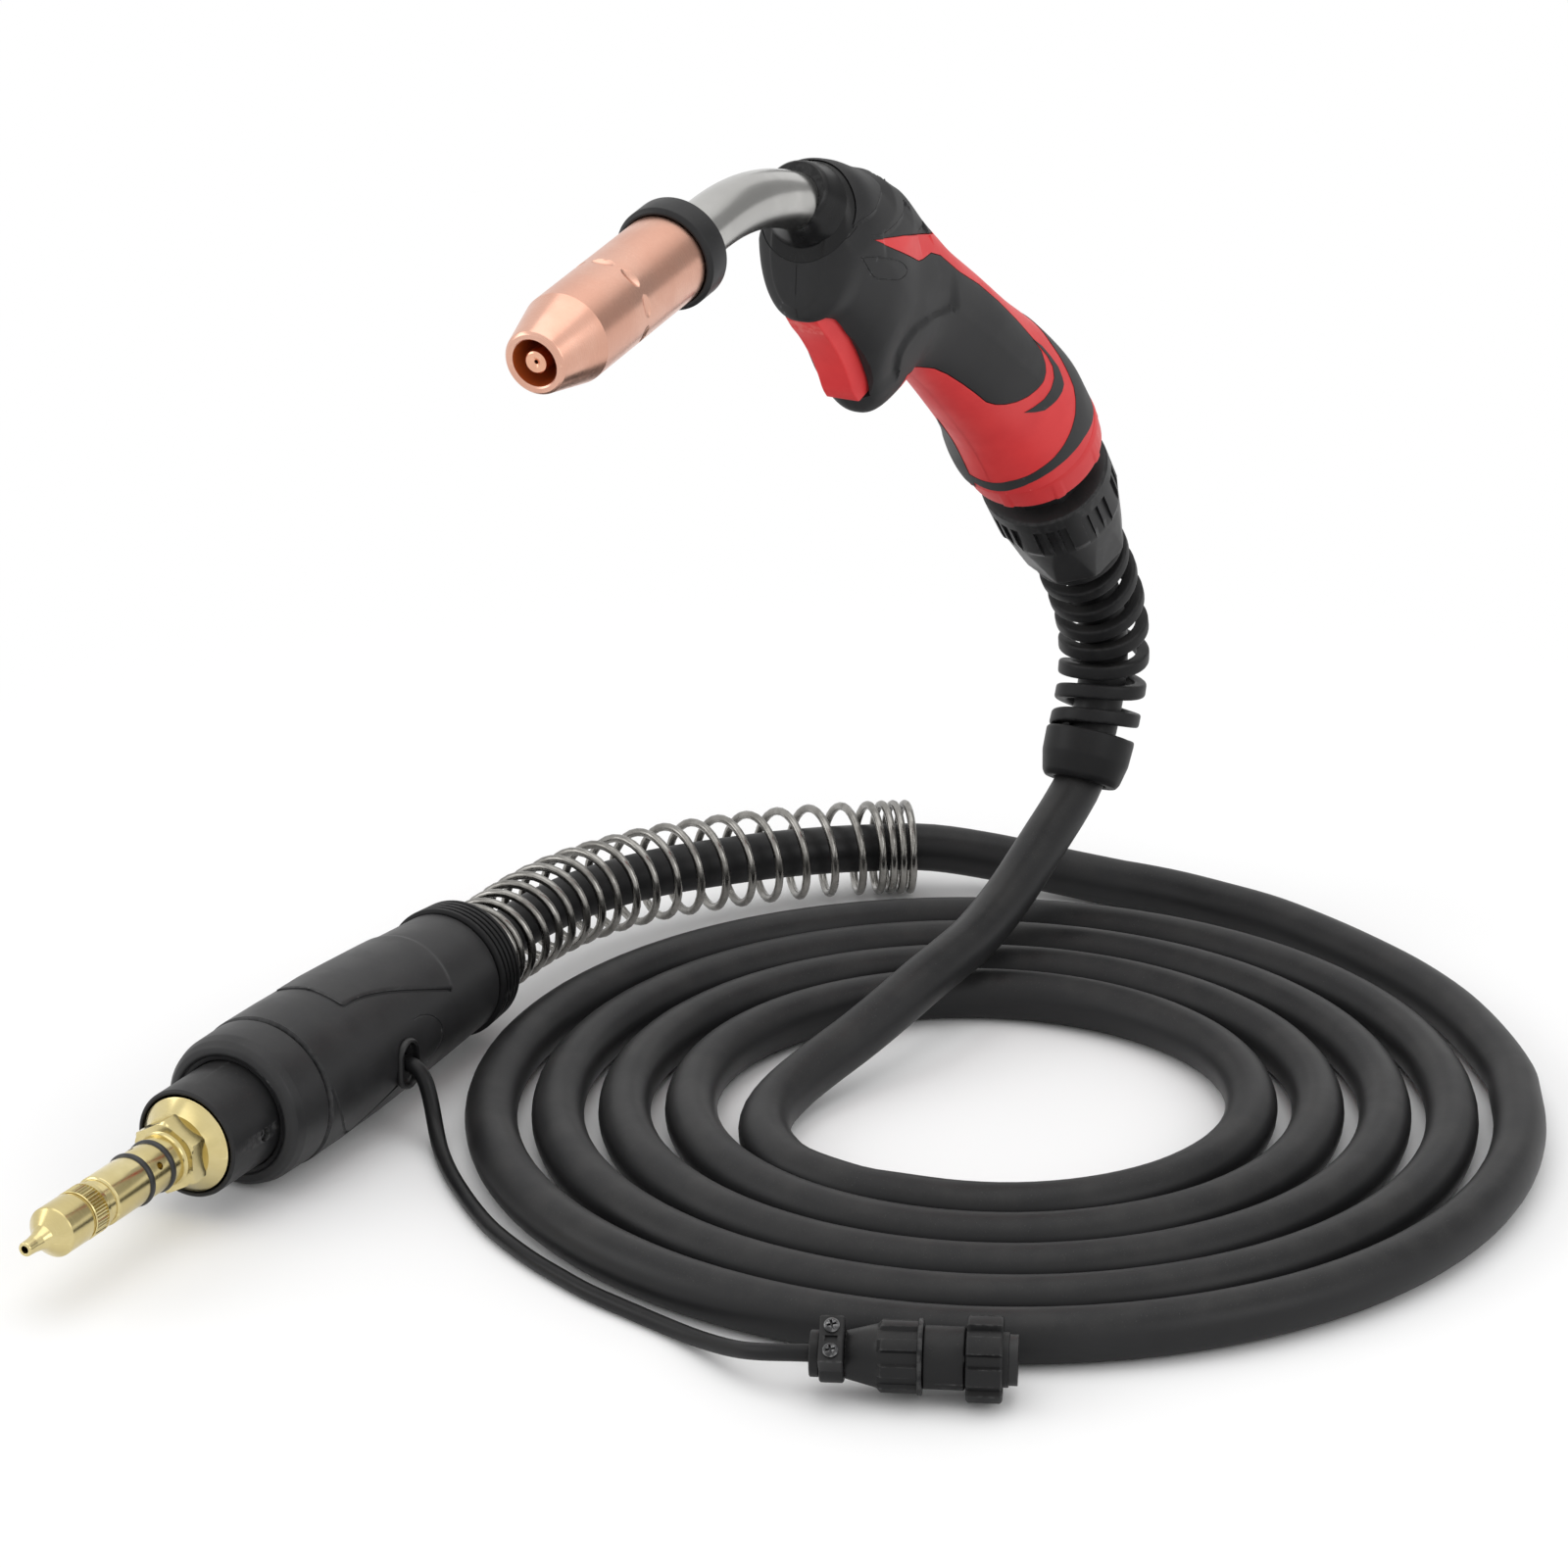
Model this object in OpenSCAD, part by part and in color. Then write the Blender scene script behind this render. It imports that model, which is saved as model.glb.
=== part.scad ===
// MIG welding torch: gas nozzle, swan neck, pistol handle with trigger, coiled power cable,
// rear connector housing with power pin, and a control lead with its plug.
// Millimetres, +Z up. The origin is the middle of the cable coil, on the surface that it lies on.
// The torch stands in the plane y = torch_y and points its nozzle towards -X, as the power pin does.

/* [Cable and coil] */
// Diameter of the power cable
cable_d = 17.5; // [12:0.5:19]
// Centre line radius of the coil where its outer turn starts
coil_r = 177.6; // [165:0.1:180]
// Step from one turn of the coil to the next
coil_pitch = 22.2; // [21.2:0.1:23]
// Number of turns in the coil
coil_turns = 4.3; // [4.2:0.05:4.35]

/* [Gas nozzle] */
// Outer diameter of the nozzle's barrel
nozzle_d = 28.4; // [26:0.1:31]
// Outer diameter at the nozzle's mouth
mouth_d = 19.7; // [18.4:0.1:22]
// Bore of the nozzle's mouth
mouth_bore_d = 14.4; // [12:0.1:16]
// Bore of the nozzle's barrel
nozzle_bore_d = 22.4; // [21:0.1:23.5]
// Length of the nozzle's conical nose
nose_l = 18.2; // [12:0.1:26]
// Length of the nozzle in front of the insulating ring
nozzle_l = 76.5; // [68:0.5:90]

/* [Contact tip and diffuser] */
// Diameter of the contact tip
tip_d = 7; // [6:0.1:8.4]
// Bore of the contact tip, which the welding wire runs through
wire_bore_d = 1.2; // [0.8:0.1:1.6]
// Length of the contact tip in front of its diffuser
tip_l = 28; // [22:0.5:34]
// How far the contact tip lies inside the nozzle's mouth
tip_recess = 0.8; // [0:0.1:4]
// Diameter of the gas diffuser
diffuser_d = 15.6; // [13:0.1:17]
// Number of cross holes for the gas in the diffuser
gas_holes = 3; // [2:1:4]

/* [Insulating ring] */
// Outer diameter of the insulating ring
ring_d = 32.8; // [32:0.1:36]
// Length of the insulating ring
ring_l = 10.5; // [8:0.5:14]

/* [Swan neck] */
// Outer diameter of the neck's steel jacket
neck_d = 18.2; // [17:0.1:19]
// Wall of the steel jacket
neck_wall = 1.2; // [0.8:0.1:1.6]
// Radius of the neck's bend, along its centre line
neck_bend_r = 106; // [96:1:116]
// Upward slope of the nozzle's axis, from its mouth back, in degrees
nozzle_slope = 9.3; // [4:0.1:14]
// Length of straight neck between the insulating ring and the bend
neck_straight = 18.2; // [14:0.1:30]

/* [Handle] */
// Wall of the handle's two shells
shell_wall = 2.6; // [2.2:0.1:3]
// Half of the handle's width at the head
head_half_w = 19.6; // [19.2:0.1:21.5]
// Half of the handle's width at the finger groove
groove_half_w = 16.5; // [15.5:0.1:18]
// Half of the handle's width at the rear rim
rim_r = 24.2; // [23.8:0.1:25.5]
// Exponent of the shells' superellipse sections
section_power = 2.4; // [2.2:0.1:2.8]
// How much narrower the handle is at its underside, as a part of its width
underside_pinch = 0.24; // [0:0.02:0.3]
// Length of the rear ring
rear_ring_l = 13; // [11:0.5:14]
// Diameter of the shell screws
shell_screw_d = 3; // [2.5:0.1:3.5]

/* [Trigger] */
// Width of the trigger
trigger_w = 15; // [12:0.5:16]
// Gap at each side of the trigger in its slot
trigger_gap = 0.4; // [0.3:0.05:0.8]
// Diameter of the trigger's pin
trigger_pin_d = 3; // [2.5:0.1:3.4]

/* [Rear ball joint and gland] */
// Diameter of the ball that carries the handle on the cable gland
ball_d = 36; // [34:0.1:37]
// Diameter of the gland's spigot, on which the ball turns
spigot_d = 24; // [23:0.1:25]
// Widest diameter of the gland nut
nut_d = 46; // [42:0.5:47]
// Length of the gland nut's slotted grip
nut_grip_l = 24; // [18:0.5:26]
// Length of the gland nut's tapered skirt
skirt_l = 19; // [14:0.5:20]
// Number of grip slots round the gland nut
nut_slots = 12; // [8:1:16]

/* [Strain relief] */
// Outer diameter of the strain relief at the gland nut
relief_d = 34; // [31:0.5:36]
// Outer diameter of the strain relief's last turn
relief_end_d = 31.5; // [29:0.5:33]
// Number of turns of the spiral cut
relief_turns = 8; // [6:0.5:9]
// Width of the band left between the cuts
relief_band = 5.2; // [4.4:0.1:5.6]
// Length of the collar at the end of the strain relief
relief_collar_l = 19; // [15:0.5:22]

/* [Rear housing] */
// Largest diameter of the rear housing
housing_d = 53; // [51:0.5:55]
// Length of the housing behind its front collar
housing_l = 148; // [136:1:156]
// Outer diameter of the housing at its rear
housing_rear_d = 44; // [42:0.5:48]
// Wall of the housing's shells
housing_wall = 2.8; // [2.2:0.1:3.4]
// Outer diameter of the front collar
collar_d = 37; // [35:0.5:39]
// Length of the front collar that shows
collar_l = 25; // [18:0.5:30]

/* [Power pin] */
// Diameter of the power pin
pin_d = 16.8; // [16:0.1:17.6]
// Length of the power pin in front of its flange
pin_l = 87.5; // [80:0.5:94]
// Diameter of the pin's conical flange
flange_d = 32.6; // [30:0.1:34]
// Size of the pin's hexagon across its corners
pin_hex_d = 24; // [20:0.5:26]
// Bore of the wire guide in the pin
pin_bore_d = 2.4; // [1.6:0.1:3]

/* [Support spring] */
// Outer diameter of the support spring
spring_d = 35; // [32:0.5:36]
// Diameter of the spring's wire
spring_wire_d = 3; // [2.2:0.1:3.2]
// Number of open turns between the spring's close ends
spring_open_turns = 15; // [11:1:17]

/* [Control lead and plug] */
// Diameter of the control lead
lead_d = 5.4; // [4.6:0.1:5.6]
// Diameter of the plug's barrel
plug_d = 19; // [17:0.5:20]
// Outer diameter of the plug's coupling ring
coupling_d = 26.4; // [25:0.2:27]
// Length of the plug's coupling ring
coupling_l = 12.6; // [10:0.2:14]
// Number of contacts in the plug
contact_count = 4; // [2:1:6]

/* [Hidden] */
$fn = 48;

plastic_black = "#2b2b2d";
rubber_black = "#232325";
grip_red = "#cc3a3a";
copper = "#d79a80";
steel = "#a8a6a2";
brass = "#cdb46a";

fit = 0.05;          // radial clearance of a turning or sliding fit
body_gap = 0.3;      // gap between faces of bodies that move apart
face_gap = 0.2;      // gap between a cover and what it covers

// ---------------------------------------------------------------- geometry helpers

function unit(v) = v / norm(v);
function lerp(a, b, t) = a + (b - a) * t;
function heading(slope) = [cos(slope), sin(slope)];
function sgn_pow(x, p) = (x < 0 ? -1 : 1) * pow(abs(x), p);
function clampi(i, n) = max(0, min(n - 1, i));

// Point at parameter u (0 to len - 1) of a Catmull-Rom curve through the given points.
function curve_at(pts, u) =
    let (n = len(pts), i = clampi(floor(u), n - 1), t = u - i,
         a = pts[clampi(i - 1, n)], b = pts[i], c = pts[clampi(i + 1, n)], d = pts[clampi(i + 2, n)])
    0.5 * (2 * b + (c - a) * t + (2 * a - 5 * b + 4 * c - d) * t * t
           + (3 * b - a - 3 * c + d) * t * t * t);
function curve(pts, steps) = [for (k = [0 : steps]) curve_at(pts, (len(pts) - 1) * k / steps)];

// Tangents of a chain of points, by differences.
function tangents(pts) =
    [for (i = [0 : len(pts) - 1]) unit(pts[clampi(i + 1, len(pts))] - pts[clampi(i - 1, len(pts))])];

// Side directions carried along a chain without twist. The first is square to ref.
function carried(tan, ref) =
    [for (i = 0, v = unit(cross(tan[0], ref)); i < len(tan);
          i = i + 1, v = i < len(tan) ? unit(v - (v * tan[i]) * tan[i]) : v) v];

// Rings of a tube round a chain of points.
function tube_rings(pts, r, sides, ref, turn = 0) =
    let (tan = tangents(pts), side = carried(tan, ref))
    [for (i = [0 : len(pts) - 1])
        [for (k = [0 : sides - 1])
            let (a = turn + 360 * k / sides)
            pts[i] + r * (cos(a) * side[i] + sin(a) * cross(tan[i], side[i]))]];

// Table of [distance, parameter] along a Catmull-Rom curve, for lookup().
function length_table(pts, per_gap) =
    let (n = (len(pts) - 1) * per_gap)
    [for (i = 0, c = 0; i <= n;
          i = i + 1, c = c + norm(curve_at(pts, i / per_gap) - curve_at(pts, (i - 1) / per_gap)))
        [c, i / per_gap]];

function quad(a, b, c, d) = [[a, b, c], [a, c, d]];

// Closed polyhedron through rings of equal length, with fans over both ends.
module skin(rings) {
    m = len(rings);
    n = len(rings[0]);
    points = [for (ring = rings) for (p = ring) p];
    sides = [for (i = [0 : m - 2]) for (k = [0 : n - 1])
        each quad(i * n + k, (i + 1) * n + k, (i + 1) * n + (k + 1) % n, i * n + (k + 1) % n)];
    start = [for (k = [1 : n - 2]) [0, k, k + 1]];
    end = [for (k = [1 : n - 2]) [(m - 1) * n, (m - 1) * n + k + 1, (m - 1) * n + k]];
    polyhedron(points, concat(sides, start, end), convexity = 10);
}

// Least distance between parts of a chain that lie at least skip points apart.
function self_gap(pts, skip) =
    min([for (i = [0 : len(pts) - 1 - skip]) for (j = [i + skip : len(pts) - 1]) norm(pts[i] - pts[j])]);

module tube(h, r_out, r_in) {
    difference() {
        cylinder(h = h, r = r_out);
        translate([0, 0, -1]) cylinder(h = h + 2, r = r_in);
    }
}

// Solid of revolution from [distance along the axis, radius] points.
module turned(profile) {
    rotate_extrude() polygon([for (p = profile) [p[1], p[0]]]);
}

// A profile drawn in the torch's plane, as [x, z] points, made w thick about that plane.
module plane_block(profile, w) {
    translate([0, torch_y + w / 2, 0]) rotate([90, 0, 0]) linear_extrude(w) polygon(profile);
}

// ---------------------------------------------------------------- frames of the sub-assemblies

torch_y = 46;

// The neck's bend ends at neck_root and runs on straight into the handle.
neck_root = [-31.7, 314.1];
neck_root_slope = -33;
bend_centre = neck_root - neck_bend_r * [-sin(neck_root_slope), cos(neck_root_slope)];
bend_start = bend_centre + neck_bend_r * [-sin(nozzle_slope), cos(nozzle_slope)];
neck_tail_l = 30;
neck_end = neck_root + neck_tail_l * heading(neck_root_slope);
head_l = nozzle_l + ring_l + neck_straight;
mouth = bend_start - head_l * heading(nozzle_slope);

// Moves its children from a frame whose +Z is the direction of travel to a place in the torch's plane.
module in_plane(at, slope) {
    translate([at[0], torch_y, at[1]]) rotate([0, 90 - slope, 0]) children();
}

module at_mouth() { in_plane(mouth, nozzle_slope) children(); }
module at_neck_root() { in_plane(neck_root, neck_root_slope) children(); }

// The ball joint: its centre, and the slope of the handle's rear and of the gland.
ball_at = [122, 200];
rear_slope = -50.5;
rim_s = 5;                                  // from the ball's centre to the rear ring's end
nut_s = rim_s + 7;                          // to the gland nut's front edge
shoulder_s = nut_s + 6;
skirt_s = shoulder_s + nut_grip_l;
relief_s = skirt_s + skirt_l;
module at_ball() { in_plane(ball_at, rear_slope) children(); }

// The rear housing lies along X on the surface; this frame's +Z runs back along it from the collar.
housing_y = 196;
collar_x = -185;
housing_x = collar_x + collar_l;
housing_end_x = housing_x + housing_l;
module at_housing(x) {
    translate([x, housing_y, housing_d / 2]) rotate([0, 90, 0]) children();
}

// The plug lies on the surface on its coupling ring; +Z runs from its cap to its face.
plug_from = [-197.5, -36.5];
plug_slope = -66.4;
module at_plug(s = 0) {
    translate([plug_from[0], plug_from[1], coupling_d / 2]) rotate([0, 90, plug_slope])
        translate([0, 0, s]) children();
}

// ---------------------------------------------------------------- gas nozzle, tip and neck

nozzle_wall_end = (nozzle_d - mouth_d) / 2;
ring_cup = 3;                               // depth of the ring's cup over the nozzle
dimple_s = 42;                              // from the mouth to the crimp dimples
dimple_count = 6;
tip_end_s = tip_recess + tip_l;
diffuser_l = 34;
diffuser_end_s = tip_end_s + diffuser_l;
seat_d = nozzle_bore_d - 2 * fit;           // sleeve that the nozzle slides on

module nozzle() {
    color(copper) at_mouth() difference() {
        turned([[0, mouth_bore_d / 2 + 1], [0, mouth_d / 2 - 1], [1, mouth_d / 2],
                [nose_l, nozzle_d / 2], [nozzle_l + ring_cup - face_gap, nozzle_d / 2],
                [nozzle_l + ring_cup - face_gap, nozzle_bore_d / 2], [nose_l + 4, nozzle_bore_d / 2],
                [8, mouth_bore_d / 2], [1, mouth_bore_d / 2]]);
        for (k = [0 : dimple_count - 1])
            rotate([0, 0, 360 * (k + 0.5) / dimple_count])
                translate([nozzle_d / 2 + 3.2, 0, dimple_s]) sphere(d = 8.4);
    }
}

module contact_tip() {
    color(copper) at_mouth() difference() {
        turned([[tip_recess, 0], [tip_recess, tip_d / 2 - 0.8], [tip_recess + 0.8, tip_d / 2],
                [tip_end_s, tip_d / 2], [tip_end_s, 3], [tip_end_s + 7, 3], [tip_end_s + 7, 0]]);
        translate([0, 0, -1]) cylinder(h = tip_end_s + 10, d = wire_bore_d);
    }
}

module gas_diffuser() {
    color(brass) at_mouth() difference() {
        turned([[tip_end_s, 0], [tip_end_s, 6], [tip_end_s + 2, diffuser_d / 2],
                [diffuser_end_s, diffuser_d / 2], [diffuser_end_s, 5], [head_l - neck_straight, 5],
                [head_l - neck_straight, 0]]);
        translate([0, 0, tip_end_s - 1]) cylinder(h = 10, r = 3 + fit);
        translate([0, 0, tip_end_s]) cylinder(h = head_l, d = 4);
        for (k = [0 : gas_holes - 1])
            rotate([0, 0, 180 * k / gas_holes]) translate([-diffuser_d, 0, tip_end_s + 12 + 3 * (k % 2)])
                rotate([0, 90, 0]) cylinder(h = 2 * diffuser_d, d = 1.8);
    }
}

// The black ring that insulates the nozzle, with the sleeve that the nozzle slides on.
module insulating_ring() {
    color(plastic_black) at_mouth() difference() {
        turned([[diffuser_end_s - 14, diffuser_d / 2 + fit], [diffuser_end_s - 14, seat_d / 2],
                [nozzle_l + ring_cup, seat_d / 2], [nozzle_l + ring_cup, nozzle_d / 2 + body_gap],
                [nozzle_l, nozzle_d / 2 + body_gap], [nozzle_l, ring_d / 2 - 1.2],
                [nozzle_l + 1.2, ring_d / 2], [nozzle_l + ring_l - 1, ring_d / 2],
                [nozzle_l + ring_l, ring_d / 2 - 1], [nozzle_l + ring_l, 5 + fit],
                [diffuser_end_s, 5 + fit], [diffuser_end_s, diffuser_d / 2 + fit]]);
    }
}

// Straight stretch, bend and inner stretch of one tube of the neck, as solids end to end.
module neck_run(d, front_cut = 0, back_add = 0) {
    at_mouth() translate([0, 0, head_l - neck_straight + front_cut])
        cylinder(h = neck_straight - front_cut, d = d);
    translate([bend_centre[0], torch_y, bend_centre[1]]) rotate([90, 0, 0])
        rotate([0, 0, 90 + neck_root_slope])
            rotate_extrude(angle = nozzle_slope - neck_root_slope) translate([neck_bend_r, 0])
                circle(d = d);
    at_neck_root() cylinder(h = neck_tail_l + back_add, d = d);
}

conductor_d = 11;
liner_d = 4.5;

module neck_jacket() {
    color(steel) difference() {
        neck_run(neck_d);
        neck_run(neck_d - 2 * neck_wall, -1, 1);
    }
}

module neck_insulation() {
    color("#d8d4c8") difference() {
        neck_run(neck_d - 2 * neck_wall - 2 * fit);
        neck_run(conductor_d + 2 * fit, -1, 1);
    }
}

module neck_conductor() {
    color(copper) difference() {
        neck_run(conductor_d);
        neck_run(liner_d, -1, 1);
    }
}

// ---------------------------------------------------------------- handle

// Side outline of the handle from its head to its rear ring, as stations of
// [top x, top z, bottom x, bottom z, half width, share of the underside's pinch].
mid_half_w = lerp(groove_half_w, rim_r, 0.5);
HANDLE = [
    [-47, 329, -51, 290, head_half_w - 9.5, 0.3],
    [-42.3, 333, -48, 285, head_half_w - 3.5, 0.6],
    [-33.8, 334, -38.5, 281.5, head_half_w - 0.8, 0.8],
    [-21.2, 329.4, -28, 270.5, head_half_w, 1],
    [-6, 324.6, -18, 252.5, head_half_w - 0.5, 1],
    [8, 316.4, -8, 245, head_half_w - 2.2, 1],
    [19.2, 306.6, 4, 246.5, groove_half_w + 0.3, 1],
    [30.5, 297.4, 14, 252, groove_half_w, 1],
    [40, 290, 24, 250.5, groove_half_w + 0.3, 1],
    [57, 279, 38, 242, groove_half_w + 1.5, 1],
    [78, 265, 57, 227, mid_half_w, 1],
    [101.2, 251.6, 77, 209.5, mid_half_w + 1.8, 0.7],
    [121.8, 237, 91.5, 193.2, rim_r + 0.6, 0.1],
    [134, 224.6, 100, 183.8, rim_r + 0.9, 0]
];
STATION_STEPS = 2;                          // rings per gap between stations

// One point of the handle's skin: u counts stations, angle goes round from +Y over the top.
function skin_point(u, angle, inset) =
    let (s = curve_at(HANDLE, u), mid = [(s[0] + s[2]) / 2, (s[1] + s[3]) / 2],
         up = [s[0] - s[2], s[1] - s[3]] / 2, half_h = norm(up), dir = up / half_h,
         power = lerp(section_power, 2, max(0, min(1, (u - 9.5) / 3))),
         v = sgn_pow(sin(angle), 2 / power),
         c = sgn_pow(cos(angle), 2 / power) * (1 - underside_pinch * s[5] * max(0, -v)),
         p = mid + dir * (half_h - inset) * v)
    [p[0], torch_y + (s[4] - inset) * c, p[1]];

// Half section, on the side of +Y (side = 1) or -Y (side = -1), from the bottom to the top.
function half_ring(u, side, inset, steps) =
    [for (k = [0 : steps])
        let (a = -90 + 180 * k / steps, p = skin_point(u, a, inset))
        [p[0], torch_y + side * max(0, p[1] - torch_y), p[2]]];

module half_loft(side, inset, u_from, u_to, steps) {
    n = round((u_to - u_from) * STATION_STEPS);
    rings = [for (k = [0 : n]) half_ring(lerp(u_from, u_to, k / n), side, inset, steps)];
    skin(side > 0 ? rings : [for (r = rings) [for (i = [len(r) - 1 : -1 : 0]) r[i]]]);
}

shell_u0 = 0;
shell_u1 = len(HANDLE) - 1;
cavity_u0 = 1.5;

// Shell screws: places in the plane, with bosses in both shells.
SCREWS = [[-12, 318.6], [1.5, 254], [68.5, 263], [82, 218]];
boss_d = shell_screw_d + 4;
screw_head_d = shell_screw_d + 2.6;
screw_y0 = -9;                              // tip of the screws, from the plane
screw_y1 = 9;                               // seat of their heads, from the plane

// Places where the shells' ribs hold the neck clamp, the switch and the front terminal.
clamp_s = 6;
clamp_l = 14;
clamp_w = 2 * (head_half_w - shell_wall) - 6;
clamp_h = 22;
SWITCH = [-10.5, 277];                      // middle of the switch
switch_slope = -50;                         // slope of the switch's long side
switch_size = [20, 10, 6.4];

trigger_slot = [[-46.5, 285.8], [-56, 280], [-30, 243], [-19.2, 251.2], [-12.8, 254.7], [-3.6, 259.2], [-2.6, 261.5],
                [-22.5, 285.2], [-27.5, 292.2], [-30.5, 295.6], [-38, 295.6], [-43, 291]];
module slot_cut() { plane_block(trigger_slot, trigger_w + 2 * trigger_gap); }

// The step in the shells that the soft pads lie in.
pad_u0 = 6.2;
pad_u1 = 10.6;
pad_a0 = -38;
pad_a1 = 46;
pad_depth = 0.9;
pad_proud = 0.35;

// A patch of the handle's skin from inset "deep" to inset "high", for the pads and their recesses.
module pad_patch(side, deep, high, grow) {
    nu = 10;
    na = 8;
    function patch(inset) = [for (i = [0 : nu]) for (j = [0 : na])
        let (t = i / nu, u = lerp(pad_u0 - grow / 14, pad_u1 + grow / 14, t),
             taper = lerp(0.35, 1, sin(90 * min(1, t / 0.5))) * lerp(1, 0.55, pow(max(0, t - 0.72) / 0.28, 2)),
             mid = lerp(pad_a0, pad_a1, 0.5), half = (pad_a1 - pad_a0) / 2 * taper + grow * 1.5,
             p = skin_point(u, mid + half * (2 * j / na - 1), inset))
        [p[0], torch_y + side * (p[1] - torch_y), p[2]]];
    w = na + 1;
    n = (nu + 1) * w;
    edge = concat([for (j = [0 : na]) j], [for (i = [1 : nu]) i * w + na],
                  [for (j = [na - 1 : -1 : 0]) nu * w + j], [for (i = [nu - 1 : -1 : 1]) i * w]);
    e = len(edge);
    faces = concat(
        [for (i = [0 : nu - 1]) for (j = [0 : na - 1])
            each quad(i * w + j, i * w + j + 1, (i + 1) * w + j + 1, (i + 1) * w + j)],
        [for (i = [0 : nu - 1]) for (j = [0 : na - 1])
            each quad(n + i * w + j, n + (i + 1) * w + j, n + (i + 1) * w + j + 1, n + i * w + j + 1)],
        [for (k = [0 : e - 1])
            each quad(edge[k], n + edge[k], n + edge[(k + 1) % e], edge[(k + 1) % e])]);
    polyhedron(concat(patch(deep), patch(high)),
               side > 0 ? faces : [for (f = faces) [f[0], f[2], f[1]]], convexity = 6);
}

boot_s = -16;                               // front of the neck boot, from neck_root
boot_l = 15;
boot_d = 32;

module half_shell(side) {
    screw_side = 1;                         // the screws go in from +Y
    difference() {
        union() {
            difference() {
                half_loft(side, 0, shell_u0, shell_u1, 12);
                half_loft(side, shell_wall, cavity_u0, shell_u1 + 0.4, 10);
            }
            intersection() {
                half_loft(side, 1, shell_u0 + 0.2, shell_u1, 12);
                union() {
                    for (p = SCREWS)
                        translate([p[0], torch_y, p[1]]) rotate([-90 * side, 0, 0])
                            cylinder(h = 40, d = boss_d);
                    translate([PIN_AT[0], torch_y, PIN_AT[1]]) rotate([-90 * side, 0, 0])
                        cylinder(h = 40, d = trigger_pin_d + 6);
                    at_neck_root() translate([-clamp_h / 2, side > 0 ? clamp_w / 2 + fit : -60 - clamp_w / 2 - fit, clamp_s])
                        cube([clamp_h, 60, clamp_l]);
                    in_plane(SWITCH, switch_slope)
                        translate([-4, side > 0 ? switch_size[2] / 2 + fit : -40 - switch_size[2] / 2 - fit, -7])
                            cube([8, 40, 14]);
                }
            }
        }
        slot_cut();
        at_neck_root() translate([0, 0, -60]) cylinder(h = 90, r = neck_d / 2 + 0.25);
        at_neck_root() translate([0, 0, boot_s - 30]) cylinder(h = 30 + boot_l, d = boot_d);
        at_neck_root() translate([-clamp_h / 2 - fit, -clamp_w / 2 - fit, clamp_s - fit])
            cube([clamp_h + 2 * fit, clamp_w + 2 * fit, clamp_l + 2 * fit]);
        at_ball() translate([0, 0, rim_s - rear_ring_l - face_gap]) cylinder(h = 60, r = rim_r + 20);
        for (p = SCREWS) translate([p[0], torch_y, p[1]]) rotate([-90, 0, 0]) {
            translate([0, 0, screw_y0 - 1]) cylinder(h = 40, d = shell_screw_d + 2 * fit);
            translate([0, 0, screw_y1]) cylinder(h = 40, d = screw_head_d + 0.6);
        }
        pad_patch(side, pad_depth + 0.1, -2, 1);
        trigger_pin_bore();
    }
}

module handle_shell_left() { color(grip_red) half_shell(1); }
module handle_shell_right() { color(grip_red) half_shell(-1); }
module grip_pad_left() { color(rubber_black) pad_patch(1, pad_depth, -pad_proud, 0); }
module grip_pad_right() { color(rubber_black) pad_patch(-1, pad_depth, -pad_proud, 0); }

// Rubber boot in the head's mouth, with a dished cone round the neck.
module neck_boot() {
    color(rubber_black) difference() {
        at_neck_root() translate([0, 0, boot_s]) turned([[0, neck_d / 2 + 1.8], [4, neck_d / 2 + 2.6], [9, boot_d / 2 - 1],
                [9.5, boot_d / 2 - fit], [boot_l, boot_d / 2 - fit], [boot_l, 2], [0, 2]]);
        neck_run(neck_d + 2 * fit);
    }
}

module neck_clamp() {
    color(plastic_black) at_neck_root() translate([0, 0, clamp_s]) difference() {
        translate([-clamp_h / 2, -clamp_w / 2, 0]) cube([clamp_h, clamp_w, clamp_l]);
        translate([0, 0, -1]) cylinder(h = clamp_l + 2, r = neck_d / 2 + fit);
    }
}

module shell_screws() {
    color(steel) for (p = SCREWS) translate([p[0], torch_y, p[1]]) rotate([-90, 0, 0]) {
        translate([0, 0, screw_y0]) cylinder(h = screw_y1 - screw_y0 + 0.1, d = shell_screw_d);
        difference() {
            translate([0, 0, screw_y1]) cylinder(h = 2.4, d = screw_head_d);
            translate([0, 0, screw_y1 + 1.2]) cylinder(h = 2, d = 2, $fn = 6);
        }
    }
}

// ---------------------------------------------------------------- trigger and switch

PIN_AT = [-33.5, 288.6];
module trigger_pin_bore() {
    translate([PIN_AT[0], torch_y, PIN_AT[1]]) rotate([-90, 0, 0])
        cylinder(h = 2 * pin_half_l + 0.4, d = trigger_pin_d + 2 * fit, center = true);
}
pin_half_l = head_half_w - 8.4;

trigger_round = 12;
// Front edge of the trigger, concave, then its foot and its back.
trigger_profile = [[-45, 284.6], [-41.5, 280.4], [-37.2, 275.9], [-33, 271], [-29.2, 266], [-25.6, 260.6],
                   [-22.2, 255.6], [-19, 252], [-13, 255.5], [-9.6, 258.6], [-8.4, 263.8], [-15.8, 272.6],
                   [-26.2, 285], [-28.2, 289.5], [-31, 293.8], [-37, 293.6], [-41.8, 289.2]];

module trigger() {
    color(grip_red) difference() {
        intersection() {
            plane_block(trigger_profile, trigger_w);
            in_plane([-30, 268.5], -52) union() {
                translate([-trigger_round, 0, -40]) cylinder(h = 80, r = trigger_round + 3.4);
                translate([-40, -20, -40]) cube([36, 40, 80]);
            }
        }
        translate([PIN_AT[0], torch_y, PIN_AT[1]]) rotate([-90, 0, 0])
            cylinder(h = trigger_w + 2, d = trigger_pin_d + 2 * fit, center = true);
    }
}

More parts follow.
